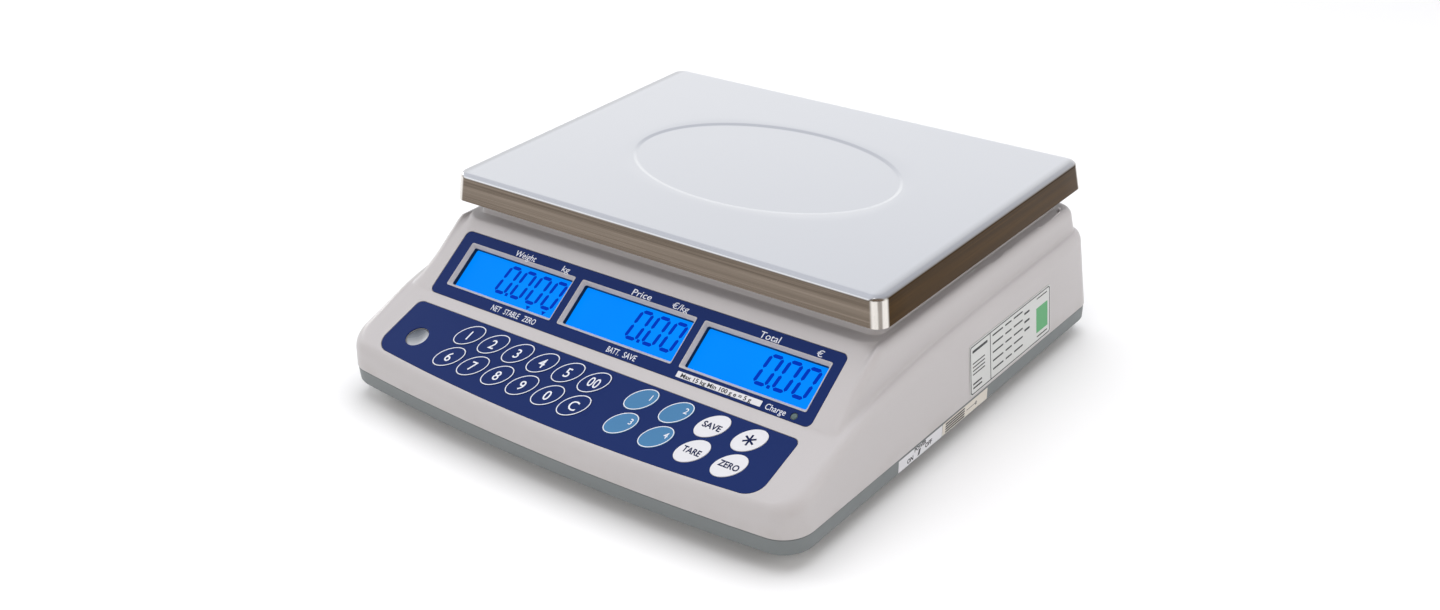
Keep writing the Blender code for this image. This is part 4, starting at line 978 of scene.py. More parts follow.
# %% Sizes on the two panels
KEYPAD_HALF, KEYPAD_TOP, KEYPAD_BOTTOM, KEYPAD_ARC = 0.136, 0.0548, 0.0087, 1.4
DISPLAY_HALF, DISPLAY_LOW, DISPLAY_HIGH = 0.1358, -0.0004, 0.0429
WINDOW_HALF_X, WINDOW_HALF_Y, WINDOW_SLANT, WINDOW_DEPTH = 0.04075, 0.0145, 0.0016, 0.0022
WINDOW_RIM, WINDOW_CORNER = 0.0003, 0.0010
FILM, RECESS_GAP, FILM_SINK = 0.0008, 0.0003, 0.00012
window_places = [centre_on(f"lcd_{name}", DISPLAY) for name in ("weight", "unit_price", "total_price")]
WINDOWS = [(place.x, place.y) for place in window_places]
LCD_TOP, LCD_BOTTOM = window_places[0].z + 0.0004, window_places[0].z - 0.0009
vial_place, led_place = centre_on("level_vial", KEYPAD), centre_on("charge_led", DISPLAY)
VIAL_RADIUS, LED_RADIUS, COLUMN_HOLE = 0.0071, 0.0020, 0.0148
COLUMN_X = sum(corner[0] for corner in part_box("overload_stop")) / 2
print("windows at", [f"{1000 * x:.1f}" for x, _ in WINDOWS], "mm, display", f"{1000 * LCD_TOP:.2f} mm deep")


def keypad_outline(offset=0.0):
    """Straight top and sides, and a bottom edge that follows the bowed front."""
    half, top, top_corner, low_corner = KEYPAD_HALF + offset, KEYPAD_TOP + offset, 0.004, 0.011

    def bottom(x):
        return KEYPAD_BOTTOM - offset + x * x / (2 * KEYPAD_ARC)

    corner_x = half - low_corner
    centre_y = bottom(corner_x) + low_corner
    points = arc((half - top_corner, top - top_corner), top_corner, 0, 90, 6)
    points += arc((-half + top_corner, top - top_corner), top_corner, 90, 180, 6)
    points += arc((-corner_x, centre_y), low_corner, 180, 270, 10)
    points += [(corner_x * i / 16, bottom(corner_x * i / 16)) for i in range(-15, 16)]
    return points + arc((corner_x, centre_y), low_corner, 270, 360, 10)


def display_outline(offset=0.0):
    middle = (DISPLAY_HIGH + DISPLAY_LOW) / 2
    half = (DISPLAY_HIGH - DISPLAY_LOW) / 2 + offset
    return rounded_rectangle(DISPLAY_HALF + offset, half, 0.0035 + offset, (0, middle))


def window_outline(x, s, inset=0.0):
    """A window's edge. With a corner of 1.4 mm the exact cut leaves the third window filled in."""
    return rounded_rectangle(WINDOW_HALF_X - inset, WINDOW_HALF_Y - inset, WINDOW_CORNER, (x, s), 4)


def window_tool(x, s):
    """Opening over one display, bevelled from the film's level inwards."""
    bm = bmesh.new()
    loops = []
    levels = ((0.0, 0.002), (0.0, 0.0), (WINDOW_SLANT, -WINDOW_DEPTH), (WINDOW_SLANT, -0.02))
    for inset, z in levels:
        loops.append([bm.verts.new((*point, z)) for point in window_outline(x, s, inset)])
    for high, low in zip(loops, loops[1:]):
        for i in range(len(low)):
            bm.faces.new((low[i - 1], low[i], high[i], high[i - 1]))
    bm.faces.new(loops[0])
    bm.faces.new(loops[-1][::-1])
    return bm


# %% Cut the openings
window_rims = [window_outline(x, s, -WINDOW_RIM) for x, s in WINDOWS]
housing_tools = [
    as_mesh(slab(keypad_outline(RECESS_GAP), -FILM - FILM_SINK, 0.01), place=KEYPAD),
    as_mesh(slab(display_outline(RECESS_GAP), -FILM - FILM_SINK, 0.01, window_rims), place=DISPLAY),
    as_mesh(slab(oval(VIAL_RADIUS, VIAL_RADIUS, 0, vial_place.xy), -0.02, 0.01), place=KEYPAD),
    as_mesh(slab(oval(LED_RADIUS, LED_RADIUS, 0, led_place.xy, 24), -0.02, 0.01), place=DISPLAY),
    as_mesh(slab(oval(COLUMN_HOLE, COLUMN_HOLE, 0, (COLUMN_X, PAN_Y)), 0.08, 0.11)),
]
housing_tools += [as_mesh(window_tool(x, s), place=DISPLAY) for x, s in WINDOWS]
upper_housing = cut(housing_shell, housing_tools)
finished("upper_shell", upper_housing, HOUSING, ["upper_housing"], HOUSING_PLASTIC, 32)
print(len(upper_housing.polygons), "faces on the cut housing")

# %% [markdown]
# ## Base
# The base is a shallow tray in a darker grey. The same outline is used again, so the two halves meet with
# an even seam. An inner lip closes the seam, as on a real case, and no light shows through.

# %% Base tray
seam_z = PARTING_Z - 0.0005
base_profile = (
    (0.0024, BASE_Z),
    (0.0016, BASE_Z + 0.0002),
    (0.0011, BASE_Z + 0.0006),
    (0.0007, BASE_Z + 0.0014),
    (0.0003, seam_z - 0.0004),
    (0.0006, seam_z),
    (0.0035, seam_z),
    (0.0035, PARTING_Z + 0.0040),
    (0.0050, PARTING_Z + 0.0040),
    (0.0050, seam_z - 0.0010),
    (0.0034, seam_z - 0.0020),
    (0.0036, BASE_Z + 0.0025),
)
base_skin = loft([inset_ring(inset, z) for inset, z in base_profile], close_first=True, close_last=True)
FOOT_NAMES = ("front_left", "front_right", "rear_left", "rear_right")


def centre_of(node):
    low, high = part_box(node)
    return Vector(((low[0] + high[0]) / 2, (low[1] + high[1]) / 2))


feet = {name: centre_of(f"levelling_foot_{name}") for name in FOOT_NAMES}
case_screws = {name: centre_of(f"case_screw_{name}") for name in FOOT_NAMES}
switch_centre, jack_centre = centre_of("switch_body"), centre_of("dc_jack")
door_centre = centre_of("battery_door")
DOOR_HALF_X, DOOR_HALF_Y, DOOR_TRAVEL, DOOR_LIP = 0.031, 0.018, 0.024, 0.004
STUD_HOLE, SCREW_SINK, SCREW_HOLE, JACK_HOLE = 0.0033, 0.0050, 0.0018, 0.0056


def drill(centre, radius, low, high, count=32):
    return as_mesh(slab(oval(radius, radius, 0, centre, count), low, high))


def block_tool(half_x, half_y, centre, low, high, corner=0.001):
    return as_mesh(slab(rounded_rectangle(half_x, half_y, corner, centre, 4), low, high))


base_tools = [drill(place, STUD_HOLE, 0.0, 0.03) for place in feet.values()]
base_tools += [drill(place, SCREW_SINK, 0.0, BASE_Z + 0.0012) for place in case_screws.values()]
base_tools += [drill(place, SCREW_HOLE, 0.0, 0.03) for place in case_screws.values()]
base_tools.append(block_tool(0.0068, 0.0098, switch_centre, -0.01, 0.03, 0.0006))
base_tools.append(drill(jack_centre, JACK_HOLE, 0.0, 0.03))
base_tools.append(block_tool(DOOR_HALF_X - DOOR_LIP, DOOR_HALF_Y - DOOR_LIP, door_centre, -0.01, 0.03))
recess_centre = door_centre + Vector((0, DOOR_TRAVEL / 2))
recess_half = DOOR_HALF_Y + DOOR_TRAVEL / 2 + RECESS_GAP
recess = block_tool(DOOR_HALF_X + RECESS_GAP, recess_half, recess_centre, 0.0, BASE_Z + 0.0015)
base_tools.append(recess)
lower_housing = cut(as_mesh(base_skin, "base"), base_tools)
finished("base_tray", lower_housing, HOUSING, ["lower_housing"], BASE_PLASTIC, 32)
print(len(lower_housing.polygons), "faces on the base")

# %% [markdown]
# ## Keypad
# The keypad is one printed film with tilted oval key areas. Each key area has to move on its own, so the
# film has a hair-thin gap round each key, and each key is a slightly raised oval of the same film. The
# white rings and digits are ink: flat shapes a few hundredths of a millimetre thick.

# %% Key sizes and places
KEY_LONG, KEY_SHORT, KEY_TILT = 0.0099, 0.00665, math.radians(45)
KEY_BOTTOM, KEY_TOP, KEY_GAP = -0.0005, 0.00018, 0.00015
key_nodes = sorted(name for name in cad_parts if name.startswith("key_"))
key_places = {name: centre_on(name, KEYPAD) for name in key_nodes}
print(len(key_nodes), "keys")


def key_oval(offset=0.0, place=(0, 0)):
    return oval(KEY_LONG + offset, KEY_SHORT + offset, KEY_TILT, place, 56)


# %% Keypad film
film_holes = [key_oval(KEY_GAP, place.xy) for place in key_places.values()]
film_holes.append(oval(VIAL_RADIUS, VIAL_RADIUS, 0, vial_place.xy))
keypad_film = as_mesh(slab(keypad_outline(), -FILM, -FILM_SINK, film_holes, 0.0001), place=KEYPAD)
finished("keypad_film", keypad_film, HOUSING, ["keypad_overlay"], OVERLAY_FILM)

# %% One key at a time
NUMBER_LABELS = {f"key_{digit}": str(digit) for digit in range(10)}
NUMBER_LABELS.update({"key_double_zero": "00", "key_clear": "C"})
PRESET_LABELS = {f"key_preset_{digit}": str(digit) for digit in range(1, 5)}
FUNCTION_LABELS = {
    "key_save": ("SAVE", 0.0113),
    "key_star": ("*", 0),
    "key_tare": ("TARE", 0.0110),
    "key_zero": ("ZERO", 0.0122),
}


def star_outline(arm, half, centre):
    """Six-armed star."""
    points = []
    for i in range(6):
        a = math.radians(90 + 60 * i)
        along, side = Vector((math.cos(a), math.sin(a))), Vector((-math.sin(a), math.cos(a)))
        notch = math.radians(60 + 60 * i)
        points.append((centre[0] + 2 * half * math.cos(notch), centre[1] + 2 * half * math.sin(notch)))
        points += [tuple(Vector(centre) + along * arm + side * half * k) for k in (-1, 1)]
    return points


def ring_ink(x, s, width):
    ring = slab(key_oval(-0.0001, (x, s)), KEY_TOP, KEY_TOP + INK, [key_oval(-0.0001 - width, (x, s))])
    return as_mesh(ring, place=KEYPAD)


DIGIT_TALL, PRESET_TALL, FUNCTION_TALL = 0.0069, 0.0041, 0.0039
PRESET_PLACE_X, PRESET_PLACE_S = 0.0046, 0.0030


def make_key(name):
    x, s = key_places[name].xy
    cap = as_mesh(slab(key_oval(0.0, (x, s)), KEY_BOTTOM, KEY_TOP, edge=0.00012), place=KEYPAD)
    if name in NUMBER_LABELS:
        text = NUMBER_LABELS[name]
        narrow = 0.92 if len(text) == 1 else 0.80
        label = words(text, KEYPAD, (x, s), KEY_TOP, DIGIT_TALL, squeeze=narrow, bold=0.006)
        parts = [(cap, OVERLAY_FILM), (ring_ink(x, s, 0.00055), WHITE_INK), (label, WHITE_INK)]
    elif name in PRESET_LABELS:
        place = (x + PRESET_PLACE_X, s + PRESET_PLACE_S)
        label = words(PRESET_LABELS[name], KEYPAD, place, KEY_TOP, PRESET_TALL, squeeze=0.92, bold=0.006)
        parts = [(cap, PRESET_FILM), (ring_ink(x, s, 0.00050), WHITE_INK), (label, WHITE_INK)]
    else:
        text, wide = FUNCTION_LABELS[name]
        if wide:
            label = words(text, KEYPAD, (x, s), KEY_TOP, FUNCTION_TALL, wide, bold=0.026)
        else:
            label = as_mesh(slab(star_outline(0.0037, 0.00055, (x, s)), KEY_TOP, KEY_TOP + INK), place=KEYPAD)
        parts = [(cap, WHITE_FILM), (label, BLUE_INK)]
    finished(f"{name}_cap", joined(name, parts), name, [name])


for name in key_nodes:
    make_key(name)

# %% [markdown]
# ## Level
# A round spirit level sits under a hole in the keypad film. A silvery cup holds it. The cup is turned, so a
# profile swept round a circle gives it.

# %% Level cup


def turned(profile, centre, panel=None, count=48):
    """Sweep (radius, height) points round an axis; a radius of zero closes the end."""
    bm = bmesh.new()
    rings = []
    for radius, z in profile:
        if radius == 0:
            rings.append([bm.verts.new((centre[0], centre[1], z))])
        else:
            rings.append([bm.verts.new((*point, z)) for point in oval(radius, radius, 0, centre, count)])
    for low, high in zip(rings, rings[1:]):
        for i in range(count):
            corners = [low[i - 1], low[i], high[i], high[i - 1]] if len(low) > 1 and len(high) > 1 else None
            if corners is None:
                corners = [low[0], high[i], high[i - 1]] if len(low) == 1 else [low[i - 1], low[i], high[0]]
            bm.faces.new(corners)
    bmesh.ops.recalc_face_normals(bm, faces=bm.faces[:])
    return as_mesh(bm, place=panel)


cup_radius = VIAL_RADIUS - 0.0003
cup_profile = [(0, -0.0085), (cup_radius, -0.0085), (cup_radius, -0.0011), (cup_radius - 0.0004, -0.0010)]
for i in range(9):
    t = i / 8
    cup_profile.append(((cup_radius - 0.0009) * (1 - t), -0.0014 - 0.0016 * math.sin(t * math.pi / 2)))


def silvery_cup():
    """A cup with painted light: painted shade on the side towards the displays and a painted highlight on the
    side away from them, as a shiny hollow would look.
    """
    sheet = Sheet("vial_cup")
    middle = KEYPAD @ Vector((vial_place.x, vial_place.y, 0))
    spot = [sheet.axis(sheet.place, index) for index in range(3)]
    across = (spot[0] - middle.x) * 0.75 - (spot[1] - middle.y) * 0.65
    # glow is painted light across the cup, from dark painted shade to a pale painted highlight.
    glow = sheet.between(-0.0065, 0.0060, across + sheet.noise(300.0) * 0.001)
    return sheet.finish(
        base_color=sheet.tint(glow, (0.125, 0.145, 0.175), (0.60, 0.61, 0.63)),
        roughness=glow * 0.1 + 0.25,
        metallic=0.3,
    )


cup = turned(cup_profile, vial_place.xy, KEYPAD)
finished("level_cup", cup, HOUSING, ["level_vial"], silvery_cup(), 40)

# %% [markdown]
# ## Displays
# Each display is a lit blue glass behind a bevelled window. Every digit reads zero, so one digit is modelled
# from six tapered bars and a Geometry Nodes line repeats it. The bars are thin solids just above the glass.

# %% One zero of six bars
DIGIT_HIGH, DIGIT_WIDE, BAR, DIGIT_PITCH, DIGIT_LEAN = 0.0193, 0.0094, 0.0021, 0.0120, 0.13
SEGMENT_THICK = 0.00008


def bar_outline(start, end, half):
    """A bar with pointed ends between two points."""
    along = (Vector(end) - Vector(start)).normalized()
    side = Vector((-along.y, along.x))
    a, b = Vector(start) + along * half * 0.35, Vector(end) - along * half * 0.35
    shoulder = along * half
    near, far = a + shoulder, b - shoulder
    return [a, near - side * half, far - side * half, b, far + side * half, near + side * half]


def zero_digit():
    w, h = DIGIT_WIDE - BAR, (DIGIT_HIGH - BAR) / 2
    corners = {"tl": (0, h), "tr": (w, h), "ml": (0, 0), "mr": (w, 0), "bl": (0, -h), "br": (w, -h)}
    parts = []
    for first, second in (("tl", "tr"), ("mr", "tr"), ("br", "mr"), ("bl", "br"), ("bl", "ml"), ("ml", "tl")):
        outline = bar_outline(corners[first], corners[second], BAR / 2)
        leaned = [(p.x + DIGIT_LEAN * p.y, p.y) for p in outline]
        parts.append((as_mesh(slab(leaned, 0.0, SEGMENT_THICK)), LCD_SEGMENT))
    return joined("zero", parts)


def zeros(count, first_x, s):
    start = Vector((first_x + BAR / 2, s, LCD_TOP))
    step = Vector((DIGIT_PITCH, 0, 0))
    return repeated(LINE_TREE, zero_digit(), LCD_SEGMENT, DISPLAY, count=count, start=start, step=step)


def flat_mark(outline):
    return as_mesh(slab(outline, LCD_TOP, LCD_TOP + SEGMENT_THICK), place=DISPLAY)


# %% Three lit displays
DIGIT_S, DIGIT_END = 0.0230, 0.0349
GLASS_HALF_X, GLASS_HALF_Y = 0.0415, 0.01525
for name, (x, s), count in zip(("weight", "unit_price", "total_price"), WINDOWS, (4, 3, 3)):
    outline = rounded_rectangle(GLASS_HALF_X, GLASS_HALF_Y, 0.0006, (x, s), 3)
    glass = as_mesh(slab(outline, LCD_BOTTOM, LCD_TOP), place=DISPLAY)
    first = x + DIGIT_END - DIGIT_WIDE - DIGIT_PITCH * (count - 1)
    point_x = first + DIGIT_PITCH - 0.0026
    marks = [(zeros(count, first, DIGIT_S), LCD_SEGMENT)]
    dot = rounded_rectangle(0.0010, 0.0010, 0.0002, (point_x, DIGIT_S - DIGIT_HIGH / 2 + 0.0010), 2)
    marks.append((flat_mark(dot), LCD_SEGMENT))
    if name == "weight":
        for arrow_x in (-0.0683, -0.0563):
            arrow = [(arrow_x - 0.0016, 0.0122), (arrow_x, 0.0098), (arrow_x + 0.0016, 0.0122)]
            marks.append((flat_mark(arrow), LCD_SEGMENT))
    display = joined(name, [(glass, LCD_FIELD), *marks])
    finished(f"display_{name}", display, HOUSING, [f"lcd_{name}"])
bezel_outline = rounded_rectangle(0.1322, 0.0155, 0.002, WINDOWS[1], 4)
bezel_holes = [window_outline(x, s, WINDOW_SLANT) for x, s in WINDOWS]
bezel = slab(bezel_outline, LCD_TOP + 0.0001, -WINDOW_DEPTH - 0.00005, bezel_holes)
bezel = as_mesh(bezel, place=DISPLAY)
finished("display_bezel", bezel, HOUSING, ["lcd_bezel"], BLACK_PLASTIC)
print("three displays in one black frame, digits repeated from one mesh")

# %% Display film, printed words, strip label and lamp
display_holes = [window_outline(x, s, -WINDOW_RIM - 0.0001) for x, s in WINDOWS]
display_holes.append(oval(LED_RADIUS + 0.0001, LED_RADIUS + 0.0001, 0, led_place.xy, 24))
display_film = as_mesh(slab(display_outline(), -FILM, -FILM_SINK, display_holes, 0.0001), place=DISPLAY)
finished("display_film", display_film, HOUSING, ["display_overlay"], OVERLAY_FILM)
DISPLAY_WORDS = (
    ("Weight", 0.0041, -0.0860, 0.0389, 0.0160),
    ("kg", 0.0038, -0.0545, 0.0389, 0.0054),
    ("Price", 0.0041, 0.0020, 0.0389, 0.0136),
    ("\u20ac/kg", 0.0038, 0.0291, 0.0389, 0.0112),
    ("Total", 0.0041, 0.0888, 0.0389, 0.0128),
    ("\u20ac", 0.0038, 0.1203, 0.0389, 0.0038),
    ("NET", 0.0037, -0.0838, 0.0029, 0.0068),
    ("STABLE", 0.0037, -0.0717, 0.0029, 0.0116),
    ("ZERO", 0.0037, -0.0580, 0.0029, 0.0094),
    ("BATT.", 0.0037, 0.0048, 0.0029, 0.0088),
    ("SAVE", 0.0037, 0.0163, 0.0029, 0.0088),
    ("Charge", 0.0036, 0.1133, 0.0029, 0.0126),
)
printed = [
    (words(text, DISPLAY, (x, s), -FILM_SINK, high, wide, bold=0.002, lean=0.08), WHITE_INK)
    for text, high, x, s, wide in DISPLAY_WORDS
]
finished("display_words", joined("display_words", printed), HOUSING, ())
STRIP_S = 0.0029
strip_outline = rounded_rectangle(0.0276, 0.00175, 0.0002, (0.0767, STRIP_S), 2)
strip = as_mesh(slab(strip_outline, -FILM_SINK, 0.0), place=DISPLAY)
strip_text = words("Max 15 kg Min 100 g e = 5 g", DISPLAY, (0.0750, STRIP_S), 0.0, 0.0025, 0.0460, bold=0.022)
strip_parts = [(strip, WHITE_FILM), (strip_text, DARK_INK)]
finished("capacity_strip", joined("strip", strip_parts), HOUSING, ())
LENS_RADIUS, LENS_SHOULDER, LENS_CROWN = 0.0019, -0.0006, 0.0007
lens_profile = [(0, -0.0045), (LENS_RADIUS, -0.0045), (LENS_RADIUS, LENS_SHOULDER)]
for angle in (30, 60):
    a = math.radians(angle)
    lens_profile.append((LENS_RADIUS * math.cos(a), LENS_SHOULDER + LENS_CROWN * math.sin(a)))
lens = turned([*lens_profile, (0, 0.0001)], led_place.xy, DISPLAY, 24)
finished("charge_lamp", lens, HOUSING, ["charge_led"], LED_LENS, 40)

# %% [markdown]
# ## Platter
# The platter is pressed from one sheet: a flat top, a rounded edge, a flange that splays slightly outwards
# and a shallow oval dish. Rings of points again describe it exactly, and a solidify modifier gives the
# sheet its thickness.

# %% Platter
PAN_CORNER, PAN_EDGE, PAN_EDGE_INSET, PAN_SHEET = 0.0080, 0.0027, 0.0034, 0.0010
DISH_X, DISH_Y, DISH_STEP, DISH_DEPTH = 0.089, 0.058, 0.0030, 0.0007
PAN_SIDE, PAN_TURN = 12, 12


def pan_ring(half_x, half_y, corner, z):
    """Right half of a level rounded rectangle, anticlockwise from the front."""
    points = [((half_x - corner) * i / PAN_SIDE, -half_y) for i in range(PAN_SIDE + 1)]
    for t in fractions(PAN_TURN):
        a = (t - 1) * math.pi / 2
        points.append((half_x - corner + corner * math.cos(a), -half_y + corner + corner * math.sin(a)))
    points += [(half_x, (half_y - corner) * (2 * t - 1)) for t in fractions(PAN_SIDE)]
    for t in fractions(PAN_TURN):
        a = t * math.pi / 2
        points.append((half_x - corner + corner * math.cos(a), half_y - corner + corner * math.sin(a)))
    points += [((half_x - corner) * (1 - t), half_y) for t in fractions(PAN_SIDE)]
    return [Vector((x, y + PAN_Y, z)) for x, y in points]


def dish_ring(inset, z):
    count = 3 * PAN_SIDE + 2 * PAN_TURN
    angles = [math.pi * (i / count - 0.5) for i in range(count + 1)]
    across, along = DISH_X - inset, DISH_Y - inset
    return [Vector((across * math.cos(a), PAN_Y + along * math.sin(a), z)) for a in angles]


pan_rings = []
for t in (0.0, 0.5):
    spread = PAN_SPLAY * (1 - t)
    z = PAN_BOTTOM + (PAN_TOP - PAN_EDGE - PAN_BOTTOM) * t
    pan_rings.append(pan_ring(PAN_HALF_X + spread, PAN_HALF_Y + spread, PAN_CORNER, z))
for angle in range(0, 91, 10):
    inset = PAN_EDGE_INSET * (1 - math.cos(math.radians(angle)))
    z = PAN_TOP - PAN_EDGE * (1 - math.sin(math.radians(angle)))
    pan_rings.append(pan_ring(PAN_HALF_X - inset, PAN_HALF_Y - inset, PAN_CORNER - inset, z))
pan_rings += between_rings(pan_rings[-1], dish_ring(0.0, PAN_TOP), (0.02, 0.2, 0.5, 0.9))
for i in range(9):
    t = i / 8
    pan_rings.append(dish_ring(DISH_STEP * t, PAN_TOP - DISH_DEPTH * ease(0, 1, t)))
pan_rings += [dish_ring(inset, PAN_TOP - DISH_DEPTH) for inset in (0.0035, 0.02, 0.045)]
platter = with_wall(loft(pan_rings, close_last=True), PAN_SHEET, "platter_sheet")
finished("platter_sheet", platter, "platter", ["platter"], PLATTER_STEEL, 40)
print(len(platter.polygons), "faces on the platter")

# %% [markdown]
# ## Labels on the right side
# The rating plate is a printed foil. Its small print is only bars, laid out in lines by Geometry Nodes, with
# a green square at one end. Two small stickers on the base sit above the power switch and the socket.

# %% Rating plate
PLATE_WIDE, PLATE_HIGH, PLATE_Y, PLATE_Z = 0.0905, 0.0305, 0.0588, 0.0218
lean = math.atan(WALL_DRAFT)
outward = Matrix(((0, 0, 1, 0), (1, 0, 0, 0), (0, 1, 0, 0), (0, 0, 0, 1)))
plate_x = HALF_WIDTH - WALL_DRAFT * (PLATE_Z - PARTING_Z)
PLATE = Matrix.Translation((plate_x, PLATE_Y, PLATE_Z)) @ Matrix.Rotation(-lean, 4, "Y") @ outward
FOIL_LOW, FOIL_TOP, FRAME_LINE = 0.0001, 0.0003, 0.0006


def foil(outline, low, high, finish, place, holes=()):
    return (as_mesh(slab(outline, low, high, holes), place=place), finish)


def outline_frame(half_x, half_y, corner, centre):
    """The printed line round the rating plate."""
    outer = rounded_rectangle(half_x, half_y, corner, centre, 4)
    inner = rounded_rectangle(half_x - FRAME_LINE, half_y - FRAME_LINE, corner - FRAME_LINE / 2, centre, 4)
    return foil(outer, FOIL_TOP, FOIL_TOP + INK, DARK_INK, PLATE, [inner])


def print_lines(place, x, y, width, line, count, pitch, top):
    """Lines of small print, each one bar repeated downwards."""
    bar = as_mesh(slab(rounded_rectangle(width / 2, line / 2, line * 0.3, (0, 0), 2), 0.0, INK))
    start, step = Vector((x + width / 2, y, top)), Vector((0, -pitch, 0))
    return (repeated(LINE_TREE, bar, DARK_INK, place, count=count, start=start, step=step), DARK_INK)


half_w, half_h = PLATE_WIDE / 2, PLATE_HIGH / 2
plate_outline = rounded_rectangle(half_w, half_h, 0.002, (0, half_h))
plate_parts = [foil(plate_outline, FOIL_LOW, FOIL_TOP, LABEL_FILM, PLATE)]
plate_parts.append(outline_frame(half_w - FRAME_LINE, half_h - FRAME_LINE, 0.0018, (0, half_h)))
divider = rounded_rectangle(0.0003, half_h - 0.0010, 0.0001, (-half_w + 0.0220, half_h), 2)
plate_parts.append(foil(divider, FOIL_TOP, FOIL_TOP + INK, DARK_INK, PLATE))
green = rounded_rectangle(0.0066, 0.0078, 0.0002, (half_w - 0.0100, half_h - 0.0015), 2)
plate_parts.append(foil(green, FOIL_TOP, FOIL_TOP + INK, GREEN_INK, PLATE))
for x, y, width, line, count, pitch in (
    (-half_w + 0.0030, 0.0262, 0.0160, 0.0016, 1, 0.002),
    (-half_w + 0.0030, 0.0190, 0.0130, 0.0007, 4, 0.0022),
    (-half_w + 0.0030, 0.0065, 0.0095, 0.0010, 2, 0.0024),
    (-half_w + 0.0245, 0.0268, 0.0115, 0.0010, 5, 0.0052),
    (-half_w + 0.0385, 0.0268, 0.0070, 0.0010, 5, 0.0052),
    (-half_w + 0.0480, 0.0268, 0.0100, 0.0010, 5, 0.0052),
    (-half_w + 0.0600, 0.0242, 0.0060, 0.0013, 3, 0.0052),
    (half_w - 0.0160, 0.0274, 0.0120, 0.0007, 1, 0.002),
    (half_w - 0.0160, 0.0034, 0.0120, 0.0008, 1, 0.002),
):
    plate_parts.append(print_lines(PLATE, x, y, width, line, count, pitch, FOIL_TOP))
finished("rating_foil", joined("rating_foil", plate_parts), HOUSING, ["rating_plate"])

# %% Stickers on the base
sticker_lean = math.atan((0.0007 - 0.0003) / (seam_z - 0.0004 - BASE_Z - 0.0014))
sticker_origin = Matrix.Translation((HALF_WIDTH - 0.0007, 0, BASE_Z + 0.0014))
STICKER = sticker_origin @ Matrix.Rotation(sticker_lean, 4, "Y") @ outward
STICKER_LOW, STICKER_TOP, STICKER_S = 0.00003, 0.00012, 0.0037


def sticker(name, y_low, y_high, finish, extra):
    centre, half = ((y_low + y_high) / 2, STICKER_S), (y_high - y_low) / 2
    outline = rounded_rectangle(half, 0.0036, 0.0004, centre, 3)
    parts = [foil(outline, STICKER_LOW, STICKER_TOP, finish, STICKER)]
    finished(name, joined(name, parts + extra(y_low)), HOUSING, ())


def sticker_word(text, high, x, y):
    return (words(text, STICKER, (x, y), STICKER_TOP, high, bold=0.03), DARK_INK)


def sticker_mark(outline, holes=()):
    return foil(outline, STICKER_TOP, STICKER_TOP + INK, DARK_INK, STICKER, holes)


def power_marks(start):
    x = start + 0.0200
    switch = [(x - 0.0015, 0.0010), (x + 0.0003, 0.0010), (x + 0.0015, 0.0046), (x - 0.0003, 0.0046)]
    rows = (
        ("POWER", 0.0024, x + 0.0010, 0.0062),
        ("ON", 0.0028, x - 0.0088, 0.0026),
        ("OFF", 0.0028, x + 0.0092, 0.0034),
    )
    return [sticker_mark(switch)] + [sticker_word(*row) for row in rows]


def socket_marks(start):
    """Lines of small print and a plug's sign: a ring on a line."""
    ring_x, ring_radius = start + 0.0350, 0.0011
    lines = print_lines(STICKER, start + 0.0030, 0.0060, 0.0200, 0.0010, 4, 0.0016, STICKER_TOP)
    ring = oval(ring_radius, ring_radius, 0, (ring_x, STICKER_S), 24)
    hole = oval(0.0007, 0.0007, 0, (ring_x, STICKER_S), 24)
    link = rounded_rectangle(0.0050, 0.00018, 0.0001, (ring_x + ring_radius - 0.0060, STICKER_S), 2)
    return [lines, sticker_mark(ring, [hole]), sticker_mark(link)]


sticker("power_sticker", -0.0577, -0.0148, WHITE_FILM, power_marks)
sticker("socket_sticker", -0.0144, 0.0329, CREAM_FILM, socket_marks)

# %% [markdown]
# ## Underside
# Four levelling feet with gripped rims, cross-head case screws and a ribbed battery door; the rocker switch
# keeps the shape it came with.
# The grips are one small rib repeated round a circle by Geometry Nodes.

# %% Levelling feet
FOOT_HEIGHT, FOOT_RIBS, THREAD_TURNS = 0.0085, 24, 9


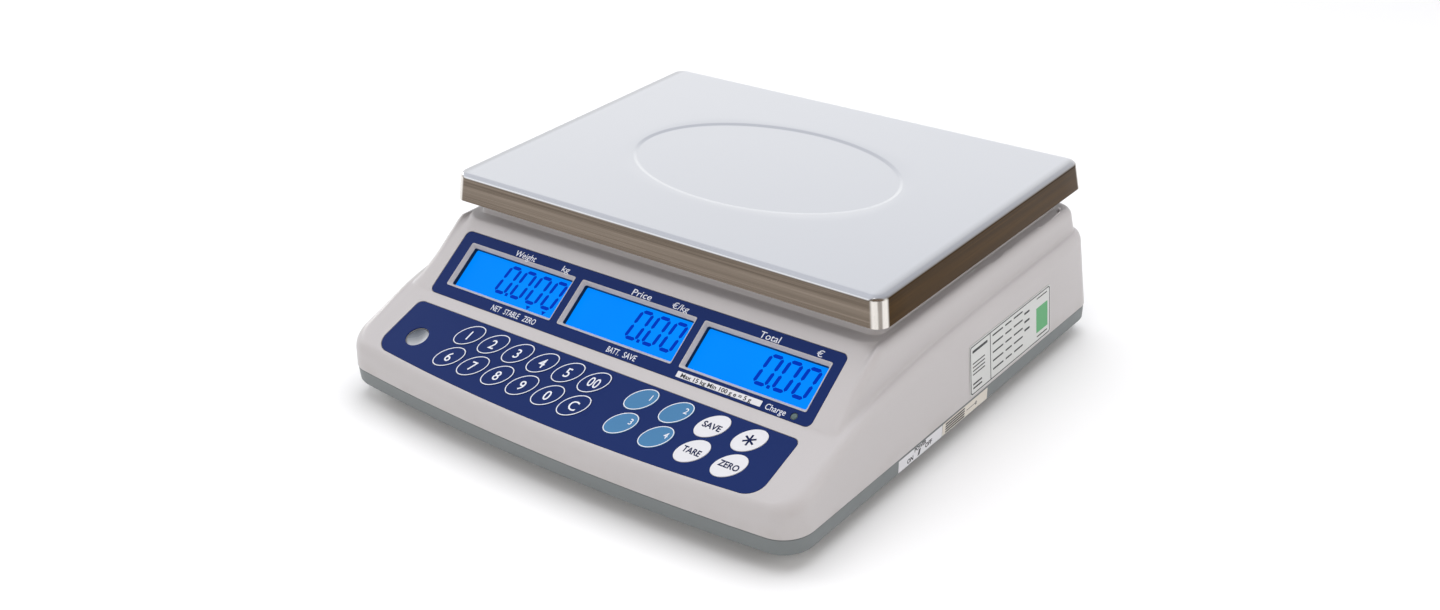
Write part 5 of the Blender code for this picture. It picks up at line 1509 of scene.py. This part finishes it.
def make_foot(name, place):
    profile = [(0, 0), (0.0095, 0), (0.0104, 0.0006), (0.0112, 0.0010), (0.0118, 0.0016), (0.0118, 0.0062)]
    profile += [(0.0112, 0.0076), (0.0098, FOOT_HEIGHT)]
    profile += [(0.0045, FOOT_HEIGHT), (0.0045, FOOT_HEIGHT + 0.0008)]
    body = turned([*profile, (0, FOOT_HEIGHT + 0.0008)], place, count=64)
    rib = as_mesh(slab(rounded_rectangle(0.0011, 0.0007, 0.0004, (0.0115, 0), 3), 0.0018, 0.0060))
    around = Matrix.Translation((*place, 0))
    copies = repeated(RING_TREE, rib, RUBBER, around, count=FOOT_RIBS, radius=0.0001)
    thread = [(0.0, FOOT_HEIGHT)]
    pitch = (PARTING_Z - FOOT_HEIGHT) / THREAD_TURNS
    for i in range(THREAD_TURNS):
        z = FOOT_HEIGHT + pitch * i
        thread += [(0.0026, z), (0.0030, z + pitch * 0.4), (0.0030, z + pitch * 0.6)]
    stud = turned([*thread, (0.0026, PARTING_Z), (0.0, PARTING_Z)], place, count=24)
    parts = [(body, RUBBER), (copies, RUBBER), (stud, ZINC)]
    node = f"levelling_foot_{name}"
    finished(f"foot_{name}", joined(node, parts), node, [node], smooth=35)


for name, place in feet.items():
    make_foot(name, place)
print(len(feet), "feet,", FOOT_RIBS, "ribs each")

# %% Case screws
HEAD_LOW, HEAD_HIGH = BASE_Z - 0.0006, BASE_Z + 0.0009
HEAD_RADIUS, SHANK = 0.0034, 0.0013


def make_screw(name, place):
    profile = [(0, HEAD_LOW), (0.0022, HEAD_LOW + 0.0001), (0.0030, HEAD_LOW + 0.0004)]
    profile += [(HEAD_RADIUS, HEAD_LOW + 0.0009), (HEAD_RADIUS, HEAD_HIGH)]
    profile += [(SHANK, HEAD_HIGH), (SHANK, PARTING_Z + 0.008), (0, PARTING_Z + 0.008)]
    cross = []
    for half_x, half_y in ((0.0018, 0.0004), (0.0004, 0.0018)):
        cross.append(block_tool(half_x, half_y, place, HEAD_LOW - 0.001, HEAD_LOW + 0.0007, 0.0001))
    node = f"case_screw_{name}"
    screw = cut(turned(profile, place, count=40), cross)
    finished(f"screw_{name}", screw, HOUSING, [node], ZINC, 35)


for name, place in case_screws.items():
    make_screw(name, place)

# %% Battery door
door_outline = rounded_rectangle(DOOR_HALF_X, DOOR_HALF_Y, 0.0008, door_centre, 4)
door = as_mesh(slab(door_outline, BASE_Z, BASE_Z + 0.0012))
rib = as_mesh(slab(rounded_rectangle(0.0150, 0.0004, 0.0003, (0, 0), 3), -0.0004, 0.0002))
rib_start = Vector((door_centre.x, door_centre.y - 0.0145, BASE_Z))
DOOR_RIBS, RIB_STEP = 6, Vector((0, 0.0016, 0))
ribs = repeated(LINE_TREE, rib, BASE_PLASTIC, count=DOOR_RIBS, start=rib_start, step=RIB_STEP)
door_parts = [(door, BASE_PLASTIC), (ribs, BASE_PLASTIC)]
finished("battery_cover", joined("battery_cover", door_parts), "battery_door", ["battery_door"])
print("door with", DOOR_RIBS, "ribs")
